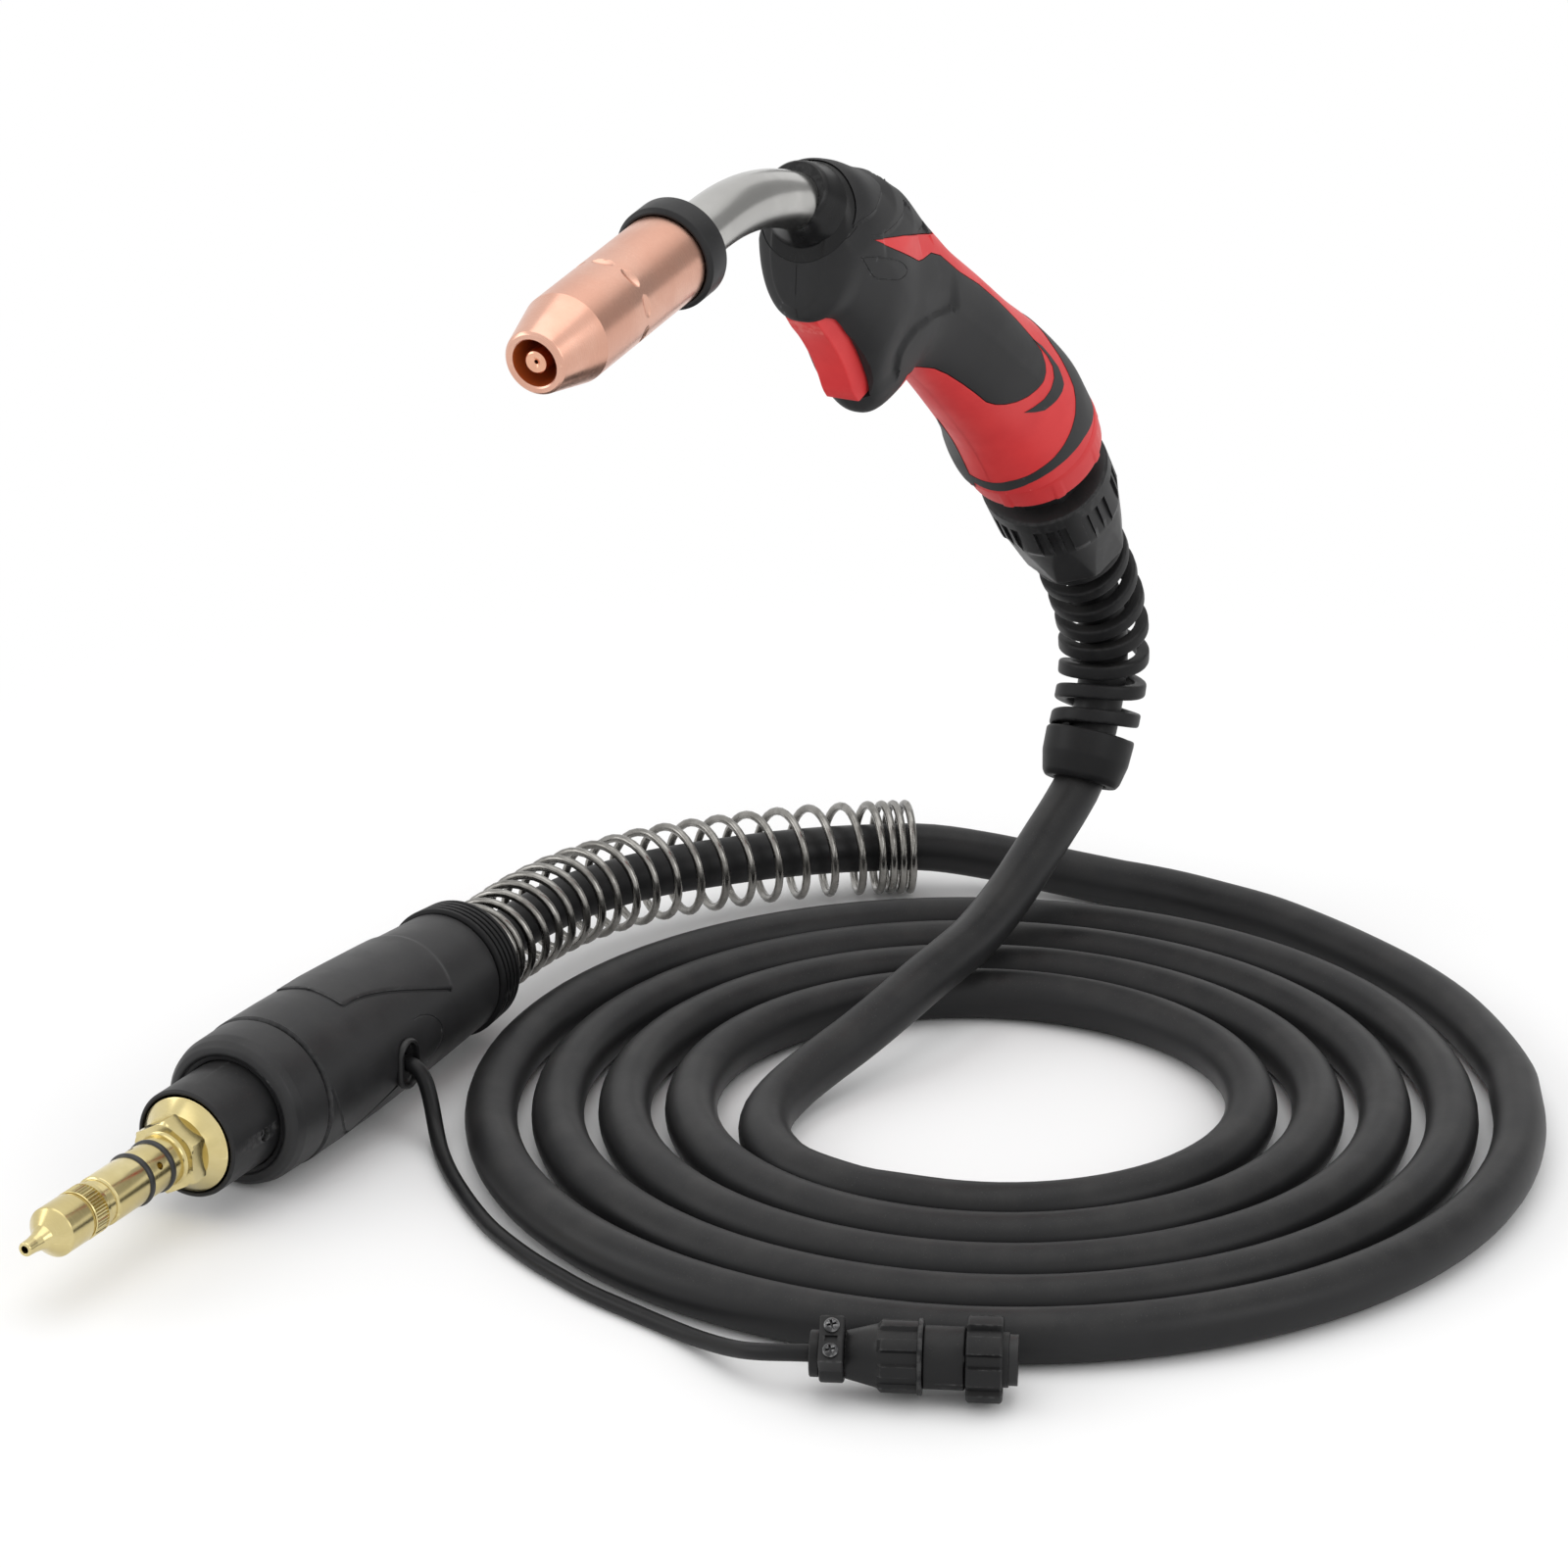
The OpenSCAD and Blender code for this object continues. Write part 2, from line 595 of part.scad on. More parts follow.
module trigger_pin() {
    color(steel) translate([PIN_AT[0], torch_y, PIN_AT[1]]) rotate([-90, 0, 0])
        cylinder(h = 2 * pin_half_l, d = trigger_pin_d, center = true);
}

// Leaf spring behind the trigger.
module trigger_spring() {
    color(steel) in_plane(SWITCH, switch_slope)
        translate([switch_size[1] / 2 - 1, -2, -switch_size[0] / 2 - 5]) cube([0.8, 4, 9]);
}

module micro_switch() {
    color("#1f3550") in_plane(SWITCH, switch_slope)
        difference() {
            translate([-switch_size[1] / 2 + 1, -switch_size[2] / 2, -switch_size[0] / 2])
                cube([switch_size[1] - 2, switch_size[2], switch_size[0]]);
            translate([1, 0, 3]) rotate([0, 90, 0]) cylinder(h = 8, r = 1.3 + fit);
        }
}

module switch_button() {
    color("#e8e4da") in_plane(SWITCH, switch_slope)
        translate([3.1, 0, 3]) rotate([0, 90, 0]) cylinder(h = 3.5, r = 1.3);
}

// ---------------------------------------------------------------- inside the handle and ball joint

terminal_l = 26;
terminal_at = neck_end + heading(neck_root_slope) * 0.1;
terminal_end = terminal_at + heading(neck_root_slope) * terminal_l;

module front_terminal() {
    color(brass) in_plane(terminal_at, neck_root_slope) tube(terminal_l, 8.2, liner_d / 2);
}

seat_r = ball_d / 2 + fit;
bezel_r = 20.4;                             // outer radius of the seat ring inside the rear ring

module rear_ring() {
    color(grip_red) difference() {
        at_ball() difference() {
            turned([[rim_s - rear_ring_l - 6, bezel_r + fit], [rim_s - rear_ring_l - 6, rim_r - 2.4],
                    [rim_s - rear_ring_l, rim_r - 2.4], [rim_s - rear_ring_l, rim_r + 0.8],
                    [rim_s - rear_ring_l + 3, rim_r + 1], [rim_s - 1, rim_r + 0.2], [rim_s, rim_r - 0.6],
                    [rim_s, 8], [0, 8], [0, bezel_r + fit]]);
            translate([0, 0, rim_s - 1.6]) tube(3, 22, 19.6);
            for (k = [0 : 7]) rotate([0, 0, 45 * k + 22.5])
                translate([rim_r - 4, -2.5, rim_s - 1.2]) cube([8, 5, 3]);
        }
        translate([ball_at[0], torch_y, ball_at[1]]) sphere(r = seat_r);
    }
}

// Front part of the ball's seat, inside the rear ring.
module socket_ring() {
    color(plastic_black) difference() {
        at_ball() translate([0, 0, -9]) cylinder(h = 9 - face_gap, r = bezel_r);
        translate([ball_at[0], torch_y, ball_at[1]]) sphere(r = seat_r);
    }
}

ball_half_l = 11;
module swivel_ball() {
    color(plastic_black) at_ball() difference() {
        union() {
            intersection() {
                sphere(d = ball_d);
                translate([0, 0, -ball_half_l]) cylinder(h = 2 * ball_half_l, d = ball_d + 2);
            }
            translate([0, 0, ball_half_l - 3]) cylinder(h = nut_s - ball_half_l + 3 - body_gap, d = 33, $fn = 8);
        }
        translate([0, 0, -30]) cylinder(h = 60, r = spigot_d / 2 + fit);
    }
}

spigot_bore_d = cable_d + 2 * face_gap;
module gland_spigot() {
    color(plastic_black) at_ball() translate([0, 0, -ball_half_l - 3])
        tube(ball_half_l + 3 + nut_s + 12, spigot_d / 2, spigot_bore_d / 2);
}

module spigot_clip() {
    color(steel) at_ball() translate([0, 0, -ball_half_l - body_gap - 1.6])
        tube(1.6, spigot_d / 2 + 1.4, spigot_d / 2 + 0.01);
}

module gland_nut() {
    slot_w = 3.2;
    color(plastic_black) at_ball() difference() {
        union() {
            turned([[nut_s, 10], [nut_s, 19.2], [nut_s + 1, 20], [shoulder_s, nut_d / 2 - 0.5],
                    [shoulder_s + 1, nut_d / 2], [skirt_s - 6, nut_d / 2 - 0.6], [skirt_s, nut_d / 2 - 4],
                    [skirt_s, 10]]);
            translate([0, 0, skirt_s]) cylinder(h = skirt_l, r1 = nut_d / 2 - 2, r2 = relief_d / 2 + 1.6, $fn = 8);
        }
        translate([0, 0, nut_s - 1]) cylinder(h = 13.05, r = spigot_d / 2 + 0.01);
        translate([0, 0, nut_s]) cylinder(h = 100, d = spigot_bore_d);
        for (k = [0 : nut_slots - 1]) rotate([0, 0, 360 * k / nut_slots])
            translate([nut_d / 2 - 1.6, -slot_w / 2, shoulder_s + 5]) cube([4, slot_w, nut_grip_l - 8]);
    }
}

// ---------------------------------------------------------------- strain relief and cables

// Centre line of the strain relief, from the gland nut to its collar, as [x, z] in the torch's plane.
relief_start = ball_at + relief_s * heading(rear_slope);
RELIEF = [relief_start, [169.5, 142.5], [178.5, 130], [185, 117.5], [187.8, 105], [186.8, 92.5], [181, 78.5]];
RELIEF_EXIT = [170, 60];
relief_path = concat([ball_at + (relief_s - 8) * heading(rear_slope)], RELIEF, [RELIEF_EXIT]);
function relief_at(t) =
    let (p = curve_at(relief_path, 1 + t * (len(relief_path) - 3)),
         q = curve_at(relief_path, 1 + t * (len(relief_path) - 3) + 0.01), d = unit(q - p))
    [p, d];

band_rings_per_turn = 8;
band_thick = 4.6;
band_area_fix = 1.05;                       // an eight-sided turn as wide as a round one
band_from = 0.033;                          // share of the centre line that the first flange takes
// Rings of the spiral band: a rectangle carried round the centre line as it advances.
function band_ring(t) =
    let (f = relief_at(lerp(band_from, 1, t)), p = f[0], d = f[1], a = 360 * relief_turns * t,
         r = lerp(relief_d, relief_end_d, t) / 2 * band_area_fix,
         out = [d[1] * cos(a), sin(a), -d[0] * cos(a)], along = [d[0], 0, d[1]],
         c = [p[0], torch_y, p[1]])
    [c + out * (r - band_thick) + along * relief_band / 2, c + out * r + along * relief_band / 2,
     c + out * r - along * relief_band / 2, c + out * (r - band_thick) - along * relief_band / 2];

module strain_relief() {
    n = round(relief_turns * band_rings_per_turn);
    rings = [for (k = [0 : n]) band_ring(k / n)];
    exit_slope = -119;
    mids = [for (k = [0 : n]) (rings[k][1] + rings[k][2]) / 2];
    echo(relief_gap = self_gap(mids, band_rings_per_turn - 2) - relief_band);
    color(rubber_black) difference() {
        union() {
            skin(rings);
            in_plane(relief_start, rear_slope) translate([0, 0, face_gap]) cylinder(h = 3.4, d = relief_d);
            in_plane(RELIEF_EXIT, exit_slope) translate([0, 0, -relief_collar_l])
                turned([[0, 0], [0, relief_end_d / 2 - 0.6], [1, relief_end_d / 2 + 0.4],
                        [relief_collar_l * 0.55, relief_end_d / 2], [relief_collar_l - 1, relief_end_d / 2 - 2.2],
                        [relief_collar_l, relief_end_d / 2 - 3.2], [relief_collar_l, 0]]);
        }
        in_plane(relief_start, rear_slope) translate([0, 0, -1]) cylinder(h = 7, d = cable_d + 1);
        in_plane(RELIEF_EXIT, exit_slope) translate([0, 0, -relief_collar_l - 2])
            cylinder(h = relief_collar_l + 4, d = cable_d + 2);
    }
}

// Six-sided tube of the same section area as the round cable, cut flat where it rests.
coil_sides = 6;
coil_ring_r = cable_d / 2 * sqrt(PI / (coil_sides / 2 * sin(360 / coil_sides)));
coil_z = coil_ring_r - cable_d / 10;
coil_end_z = cable_d / 2;
coil_rings_per_turn = 24;
coil_start_angle = -62;

function coil_point(t) =
    let (a = coil_start_angle - 360 * t, r = coil_r - coil_pitch * t) [r * cos(a), r * sin(a), coil_z];
function coil_heading(t) = unit(coil_point(t + 0.001) - coil_point(t - 0.001));
function coil_path() =
    let (n = round(coil_turns * coil_rings_per_turn),
         body = [for (k = [0 : n]) coil_point(coil_turns * k / n)])
    concat([on_height(body[0] - coil_heading(0) * cable_d, coil_end_z)], body,
           [on_height(body[n] + coil_heading(coil_turns) * cable_d, coil_end_z)]);
function on_height(p, z) = [p[0], p[1], z];

module cable_coil() {
    pts = coil_path();
    echo(coil_gap = self_gap(pts, 12) - 2 * coil_ring_r);
    color(rubber_black) difference() {
        skin(tube_rings(pts, coil_ring_r, coil_sides, [0, 0, 1], 30));
        translate([-coil_r - 40, -coil_r - 40, -20]) cube([2 * coil_r + 80, 2 * coil_r + 80, 20]);
    }
}

// Points of the cable from the coil's inner end up to the strain relief, chosen by hand.
RISER = [[-83.5, 14, 9], [-79, 29, 9], [-70.5, 42.5, 9], [-58, 53.5, 9], [-42, 60.5, 9], [-24, 62.5, 10],
         [-6, 60.5, 12.5], [13, 56, 16.5], [31, 51.5, 21.5], [48, 48.5, 25.5], [64, 46.8, 27.5],
         [81, 46, 29], [98, 46, 32], [114, 46, 36.5], [129, 46, 42], [143, 46, 47.5], [157, 46, 53]];
// Points of the cable from the rear housing, through the support spring, to the coil's outer end.
TAIL = [[-125.9, 196, 26.5], [-70, 196, 26.5], [-19.5, 196, 26.5], [8, 196, 26.5], [36, 196, 26.2],
        [64, 192.5, 25.2], [96, 181.6, 23.6], [128, 163, 21.4], [148, 148, 20], [165, 131, 18.8],
        [179, 111.5, 17.8], [190, 89, 14.2], [197.2, 66, 10.4], [200.8, 43, 8.8], [201, 22, 8.8],
        [198.5, 2, 8.8], [194, -19, 8.8], [186.5, -40, 8.8], [176, -63, 8.8], [162.5, -87, 8.8],
        [144, -111, 8.8], [121.5, -132, 8.8]];
// Points of the control lead from its grommet to its plug.
LEAD = [[-92.5, 171, 24], [-93, 166.5, 23.5], [-94, 162.5, 20], [-95, 160, 14.5], [-97, 157.5, 9],
        [-101, 154, 5.5], [-107, 149, 3.5], [-115, 142, 2.8], [-125, 132.5, 2.8], [-138, 118.5, 2.8],
        [-149, 105, 2.8], [-157, 92.5, 2.8], [-164, 79.5, 2.8], [-170, 66, 2.8], [-175.5, 52, 2.8],
        [-180, 36, 2.8], [-184.5, 20, 3], [-190, 5, 4.5], [-196, -9, 7.6], [-199.8, -20, 10.8]];

cable_sides = 8;
cable_ring_r = cable_d / 2;
joint_l = 4;                                // straight end of a stretch where it meets the coil

module cable_riser() {
    relief_in = [for (k = [6 : -1 : 0]) let (p = relief_at(k / 6)[0]) [p[0], torch_y, p[1]]];
    nut_in = [for (s = [relief_s - 4, nut_s, -12]) let (p = ball_at + s * heading(rear_slope)) [p[0], torch_y, p[1]]];
    exit = [for (e = [RELIEF_EXIT, RELIEF_EXIT + [4.6, 7.1]]) [e[0], torch_y, e[1]]];
    coil = coil_path();
    coil_end = coil[len(coil) - 1];
    lead_in = coil_end + joint_l * unit(coil_end - coil[len(coil) - 2]);
    pts = concat([coil_end, lead_in], RISER, exit, relief_in, nut_in);
    color(rubber_black) skin(tube_rings(pts, cable_ring_r, cable_sides, [0, 0, 1], 22.5));
}

module cable_tail() {
    coil = coil_path();
    pts = concat(TAIL, [coil[0] - joint_l * unit(coil[1] - coil[0]), coil[0]]);
    color(rubber_black) skin(tube_rings(pts, cable_ring_r, cable_sides, [0, 0, 1], 22.5));
}

// The stretch of cable inside the handle, from the ball joint to the front terminal.
module handle_cable() {
    inner = [for (p = [ball_at - 17 * heading(rear_slope), ball_at - 26 * heading(rear_slope), [95, 228.5], [73, 245],
                       [50, 259.5], [34, 270.5], terminal_end + 4 * heading(neck_root_slope),
                       terminal_end + 0.1 * heading(neck_root_slope)])
             [p[0], torch_y, p[1]]];
    color(rubber_black) skin(tube_rings(inner, cable_ring_r, cable_sides, [0, 1, 0], 22.5));
}

// ---------------------------------------------------------------- support spring

spring_path = [for (i = [2 : 11]) TAIL[i]];
spring_table = length_table(spring_path, 16);
spring_r = (spring_d - spring_wire_d) / 2;
spring_close_pitch = spring_wire_d + 1;
spring_close_front = 4;
spring_close_rear = 4;
spring_l = 222;
spring_rings_per_turn = 8;
spring_turns = spring_close_front + spring_open_turns + spring_close_rear;
// Distance along the spring after so many turns: close, open, close.
function spring_s(turn) =
    let (open_l = spring_l - (spring_close_front + spring_close_rear) * spring_close_pitch,
         open_pitch = open_l / spring_open_turns)
    turn < spring_close_front ? turn * spring_close_pitch
    : turn < spring_close_front + spring_open_turns
        ? spring_close_front * spring_close_pitch + (turn - spring_close_front) * open_pitch
    : spring_close_front * spring_close_pitch + open_l
        + (turn - spring_close_front - spring_open_turns) * spring_close_pitch;

module support_spring() {
    n = spring_turns * spring_rings_per_turn;
    pts = [for (k = [0 : n])
        let (turn = k / spring_rings_per_turn, u = lookup(spring_s(turn), spring_table),
             c = curve_at(spring_path, u),
             d = unit(curve_at(spring_path, u + 0.02) - curve_at(spring_path, max(0, u - 0.02))),
             side = unit(cross(d, [0, 0, 1])), up = cross(side, d), a = 360 * turn)
        c + spring_r * (cos(a) * side + sin(a) * up)];
    echo(spring_gap = self_gap(pts, spring_rings_per_turn - 1) - spring_wire_d);
    color(steel) skin(helix_rings(pts, spring_wire_d / 2, 6));
}
// Rings of a wire whose chain winds round: the reference turns with the chain.
function helix_rings(pts, r, sides) =
    let (tan = tangents(pts), n = len(pts))
    [for (i = [0 : n - 1])
        let (j = i < n / 2 ? i + spring_rings_per_turn / 2 : i - spring_rings_per_turn / 2,
             out = unit(pts[i] - pts[clampi(j, n)]), side = unit(cross(tan[i], out)), up = cross(tan[i], side))
        [for (k = [0 : sides - 1]) let (a = 360 * k / sides) pts[i] + r * (cos(a) * side + sin(a) * up)]];

// ---------------------------------------------------------------- rear housing and power pin

front_ring_l = 19.5;
groove_w = 1;
housing_r = housing_d / 2;
body_s = front_ring_l + groove_w;           // where the two shells start
cap_l = 14;
shell_l = housing_l - cap_l;
// Outline of the housing's shells, [distance from the housing's front, radius].
function housing_outline(inset) =
    [[body_s, housing_r - inset], [body_s + 42, housing_r - 0.5 - inset],
     [body_s + 80, lerp(housing_r, housing_rear_d / 2, 0.55) - inset],
     [shell_l, housing_rear_d / 2 - inset]];

module housing_body() {
    difference() {
        turned(concat([[body_s, 0]], housing_outline(0), [[shell_l, 0]]));
        turned(concat([[body_s + 4, 0]], [for (p = housing_outline(housing_wall)) [max(p[0], body_s + 4), p[1]]],
                      [[shell_l + 1, housing_rear_d / 2 - housing_wall], [shell_l + 1, 0]]));
        translate([0, 0, body_s - 1]) cylinder(h = 8, r = terminal_r + face_gap);
    }
}

terminal_r = 12;
GROMMET_S = -92.5 - housing_x;
grommet_drop = 2.5;                         // from the housing's axis down to the grommet
grommet_d = 11;
grommet_tall = 3;                           // half of the step between its two round ends

// Upright oval post: two cylinders and the block between them.
module oval(h, r) {
    for (x = [-grommet_tall, grommet_tall]) translate([x, 0, 0]) cylinder(h = h, r = r);
    translate([-grommet_tall, -r, 0]) cube([2 * grommet_tall, 2 * r, h]);
}

module housing_half(side) {
    at_housing(housing_x) difference() {
        housing_body();
        translate([-40, side > 0 ? -80 : 0, -1]) cube([80, 80, housing_l + 2]);
        translate([grommet_drop, 0, GROMMET_S]) rotate([90, 0, 0]) oval(60, grommet_d / 2);
    }
}
module housing_shell_left() { color(plastic_black) housing_half(1); }
module housing_shell_right() { color(plastic_black) housing_half(-1); }

module housing_front_ring() {
    color(plastic_black) at_housing(housing_x) difference() {
        turned([[0, collar_d / 2 + face_gap], [0, housing_r - 5], [0.8, housing_r - 3], [2.6, housing_r - 1.2],
                [6, housing_r - 0.4], [front_ring_l, housing_r], [front_ring_l, housing_r - 1.6],
                [body_s - 0.01, housing_r - 1.6], [body_s - 0.01, collar_d / 2 + face_gap]]);
    }
}

module front_collar() {
    color(plastic_black) at_housing(collar_x) difference() {
        turned([[0, flange_d / 2 + 0.4], [0, collar_d / 2 - 0.6], [0.8, collar_d / 2], [collar_l + body_s - 0.2, collar_d / 2],
                [collar_l + body_s - 0.2, terminal_r + face_gap], [9, terminal_r + face_gap], [9, flange_d / 2 - 1],
                [2, flange_d / 2 + 0.4]]);
        for (a = [90, 270]) rotate([0, 0, a]) translate([0, 0, screw_s])
            rotate([0, 90, 0]) cylinder(h = 40, d = 4.6);
    }
}

screw_s = collar_l - 7;
module collar_screws() {
    color(steel) at_housing(collar_x) for (a = [90, 270]) rotate([0, 0, a])
        translate([terminal_r + face_gap, 0, screw_s]) rotate([0, 90, 0]) difference() {
            cylinder(h = 4, d = 4.4);
            translate([0, 0, 2.4]) cylinder(h = 3, d = 2.2, $fn = 6);
        }
}

module rear_cap() {
    rib = 1.6;
    r = housing_rear_d / 2;
    color(plastic_black) at_housing(housing_x + shell_l) difference() {
        turned([[0.1, r - housing_wall - 3], [0.1, r + 0.4],
                each [for (k = [0 : 4]) each [[0.6 + k * 2.6, r + 1.4 - 0.2 * k], [0.6 + k * 2.6 + rib, r + 1.4 - 0.2 * k],
                                              [0.6 + k * 2.6 + rib + 0.3, r + 0.2 - 0.2 * k]]],
                [cap_l, r - 1.4], [cap_l, spring_d / 2 + 0.5], [5, spring_d / 2 + 0.5], [5, cable_d / 2 + 1.6],
                [0.1, cable_d / 2 + 1.6]]);
    }
}

// Brass block behind the power pin, which the cable's copper is crimped in.
rear_terminal_l = 50;
module rear_terminal() {
    color(brass) at_housing(collar_x + 9) difference() {
        cylinder(h = rear_terminal_l, r = terminal_r);
        translate([0, 0, -1]) cylinder(h = rear_terminal_l + 2, d = 4);
    }
}

// Power pin, drawn from its flange towards its tip.
or_s1 = 19;
or_s2 = 30.5;
nose_s = 53;
o_ring_d = 2;
module power_pin() {
    r = pin_d / 2;
    groove_r = r - o_ring_d * 0.62;
    color(brass) at_housing(collar_x) rotate([180, 0, 0]) difference() {
        union() {
            turned([[-9, 0], [-9, flange_d / 2 - 1.2], [-2, flange_d / 2 - 1.2], [-1.4, flange_d / 2], [0, flange_d / 2], [6, 11.6],
                    [12.5, 11.6], [12.5, r], [or_s1 - o_ring_d / 2, r], [or_s1 - o_ring_d / 2, groove_r],
                    [or_s1 + o_ring_d / 2, groove_r], [or_s1 + o_ring_d / 2, r], [or_s2 - o_ring_d / 2, r],
                    [or_s2 - o_ring_d / 2, groove_r], [or_s2 + o_ring_d / 2, groove_r],
                    [or_s2 + o_ring_d / 2, r], [nose_s - 4, r], [nose_s - 4, r - 0.8], [nose_s - 2, r - 0.8], [nose_s - 2, 5],
                    [nose_s + 6, 5], [nose_s + 6, 0]]);
            translate([0, 0, 5]) cylinder(h = 7, d = pin_hex_d, $fn = 6);
        }
        translate([0, 0, -20]) cylinder(h = pin_l + 40, d = pin_bore_d);
        for (a = [0 : 90 : 270]) rotate([0, 0, a + 30]) translate([0, 0, (or_s1 + or_s2) / 2])
            rotate([0, 90, 0]) cylinder(h = pin_d, d = 2.6);
    }
}

module pin_o_rings() {
    color(rubber_black) at_housing(collar_x) rotate([180, 0, 0])
        for (s = [or_s1, or_s2]) translate([0, 0, s]) rotate_extrude()
            translate([pin_d / 2 - 0.1, 0]) circle(d = o_ring_d - 0.1);
}

// Knurled nose that screws on the pin, with the wire guide's tip.
module pin_nose() {
    r = pin_d / 2;
    color(brass) at_housing(collar_x) rotate([180, 0, 0]) difference() {
        turned([[nose_s - 1.9, 5 + fit], [nose_s - 1.9, r - 0.2], [nose_s + 1, r - 0.2], [nose_s + 1, r],
                [nose_s + 8, r], [nose_s + 8, r - 0.7], [nose_s + 9.2, r - 0.7], [nose_s + 9.2, r - 0.1],
                [pin_l - 14, r - 0.1], [pin_l - 9.5, r - 4.2], [pin_l - 7.5, 3.4], [pin_l - 5, 2.5],
                [pin_l, 2.1], [pin_l, 0], [nose_s + 6.1, 0], [nose_s + 6.1, 5 + fit]]);
        translate([0, 0, nose_s]) cylinder(h = pin_l, d = pin_bore_d);
        for (k = [0 : 29]) rotate([0, 0, 12 * k]) translate([r, 0, nose_s + 1.8])
            cylinder(h = 5.4, r = 0.45, $fn = 4);
    }
}

// ---------------------------------------------------------------- control lead and plug

module lead_grommet() {
    foot = housing_r - housing_wall - 1.8;
    color(rubber_black) at_housing(housing_x) translate([grommet_drop, 0, GROMMET_S]) rotate([90, 0, 0])
        difference() {
            translate([0, 0, foot - 1.4]) oval(housing_wall + 4, grommet_d / 2 - fit);
            translate([0, 0, foot + housing_wall + 1.6]) tube(4, 20, lead_d / 2 + 1.6);
            translate([0, 0, foot - 2]) cylinder(h = 14, d = lead_d + 0.2);
        }
}

module control_lead() {
    pts = concat([[-92.5, 177, 24]], LEAD, [for (d = [-5, 2]) [plug_from[0] + d * cos(plug_slope), plug_from[1] + d * sin(plug_slope),
                                            coupling_d / 2]]);
    color(rubber_black) skin(tube_rings(pts, lead_d / 2, 8, [0.3, 0.2, 1], 22.5));
}

clamp_from = 3;
clamp_to = 10.8;
cone_to = 21.4;
grip_to = 34;
barrel_to = 44.8;
face_s = barrel_to + coupling_l + 2.4;
cap_r = 7;
clamp_turn = 38;                            // turn of the clamp's screws from straight up

module plug_cap() {
    color(plastic_black) at_plug() tube(clamp_from - 0.1, cap_r, lead_d / 2 + 0.15);
}

module plug_backshell() {
    color(plastic_black) at_plug() difference() {
        turned([[clamp_from, 0], [clamp_from, cap_r - 1.2], [clamp_to, cap_r - 1.2], [clamp_to, cap_r + 0.2],
                [cone_to, plug_d / 2 + 0.4], [grip_to - 1.6, plug_d / 2 + 0.4], [grip_to - 1.6, plug_d / 2 + 2],
                [grip_to, plug_d / 2 + 2], [grip_to, 0]]);
        translate([0, 0, -1]) cylinder(h = 40, d = lead_d + 1);
        translate([0, 0, clamp_to + 2]) cylinder(h = 40, r = cap_r - 1.4);
    }
    color(plastic_black) at_plug() for (k = [0 : 7]) rotate([0, 0, 45 * k + 12])
        translate([plug_d / 2 - 0.4, -2, cone_to - 0.6]) cube([2, 4, grip_to - cone_to]);
}

module plug_clamp() {
    color(plastic_black) at_plug(clamp_from + 0.1) rotate([0, 0, clamp_turn]) difference() {
        union() {
            cylinder(h = clamp_to - clamp_from - 0.3, r = cap_r + 1.6);
            translate([-cap_r - 4, -cap_r + 1, 0]) cube([6, 2 * cap_r - 2, clamp_to - clamp_from - 0.3]);
        }
        translate([0, 0, -1]) cylinder(h = 20, r = cap_r - 1.2 + fit);
        for (y = [-3.6, 3.6]) translate([-cap_r - 5, y, (clamp_to - clamp_from) / 2])
            rotate([0, 90, 0]) cylinder(h = 4, d = 2.2);
    }
}

module plug_clamp_screws() {
    color(steel) at_plug(clamp_from + 0.1) rotate([0, 0, clamp_turn]) for (y = [-3.6, 3.6])
        translate([-cap_r - 4, y, (clamp_to - clamp_from) / 2]) rotate([0, -90, 0]) difference() {
            union() {
                translate([0, 0, -2.8]) cylinder(h = 2.9, d = 2);
                translate([0, 0, 0.05]) cylinder(h = 1.7, d = 4.4);
            }
            for (a = [0, 90]) rotate([0, 0, a]) translate([-1.5, -0.35, 0.9]) cube([3, 0.7, 2]);
        }
}

module plug_barrel() {
    color(plastic_black) at_plug() difference() {
        turned([[grip_to + 0.1, 0], [grip_to + 0.1, plug_d / 2], [barrel_to + 2, plug_d / 2],
                [barrel_to + 2, plug_d / 2 - 1.2], [face_s, plug_d / 2 - 1.2], [face_s, 0]]);
        translate([0, 0, grip_to - 1]) cylinder(h = face_s, r = plug_d / 2 - 2.8);
    }
}

module plug_coupling() {
    color(plastic_black) at_plug(barrel_to + 2.3) difference() {
        rotate_extrude() polygon([
            [plug_d / 2 - 1.2 + fit, 0], [coupling_d / 2, 0], [coupling_d / 2, coupling_l],
            [plug_d / 2 + 0.8, coupling_l], [plug_d / 2 + 0.8, 2], [plug_d / 2 - 1.2 + fit, 2]
        ]);
        for (k = [0 : 7]) rotate([0, 0, 45 * k + 22.5]) translate([coupling_d / 2 - 1.8, -1.9, -1])
            cube([4, 3.8, coupling_l + 2]);
    }
}

module plug_insert() {
    color(plastic_black) at_plug() difference() {
        union() {
            translate([0, 0, grip_to + 4]) cylinder(h = face_s - grip_to - 3.4, r = plug_d / 2 - 2.8 - fit);
            translate([0, 0, face_s + 0.1]) tube(2.6, plug_d / 2 - 1.8, plug_d / 2 - 4.4);
        }
        for (k = [0 : contact_count - 1]) rotate([0, 0, 360 * k / contact_count])
            translate([3, 0, 0]) cylinder(h = 100, d = 1.7);
    }
}

module plug_contacts() {
    color(brass) at_plug() for (k = [0 : contact_count - 1]) rotate([0, 0, 360 * k / contact_count])
        translate([3, 0, grip_to + 6]) cylinder(h = face_s - grip_to - 7, d = 1.6);
}

// ---------------------------------------------------------------- the part

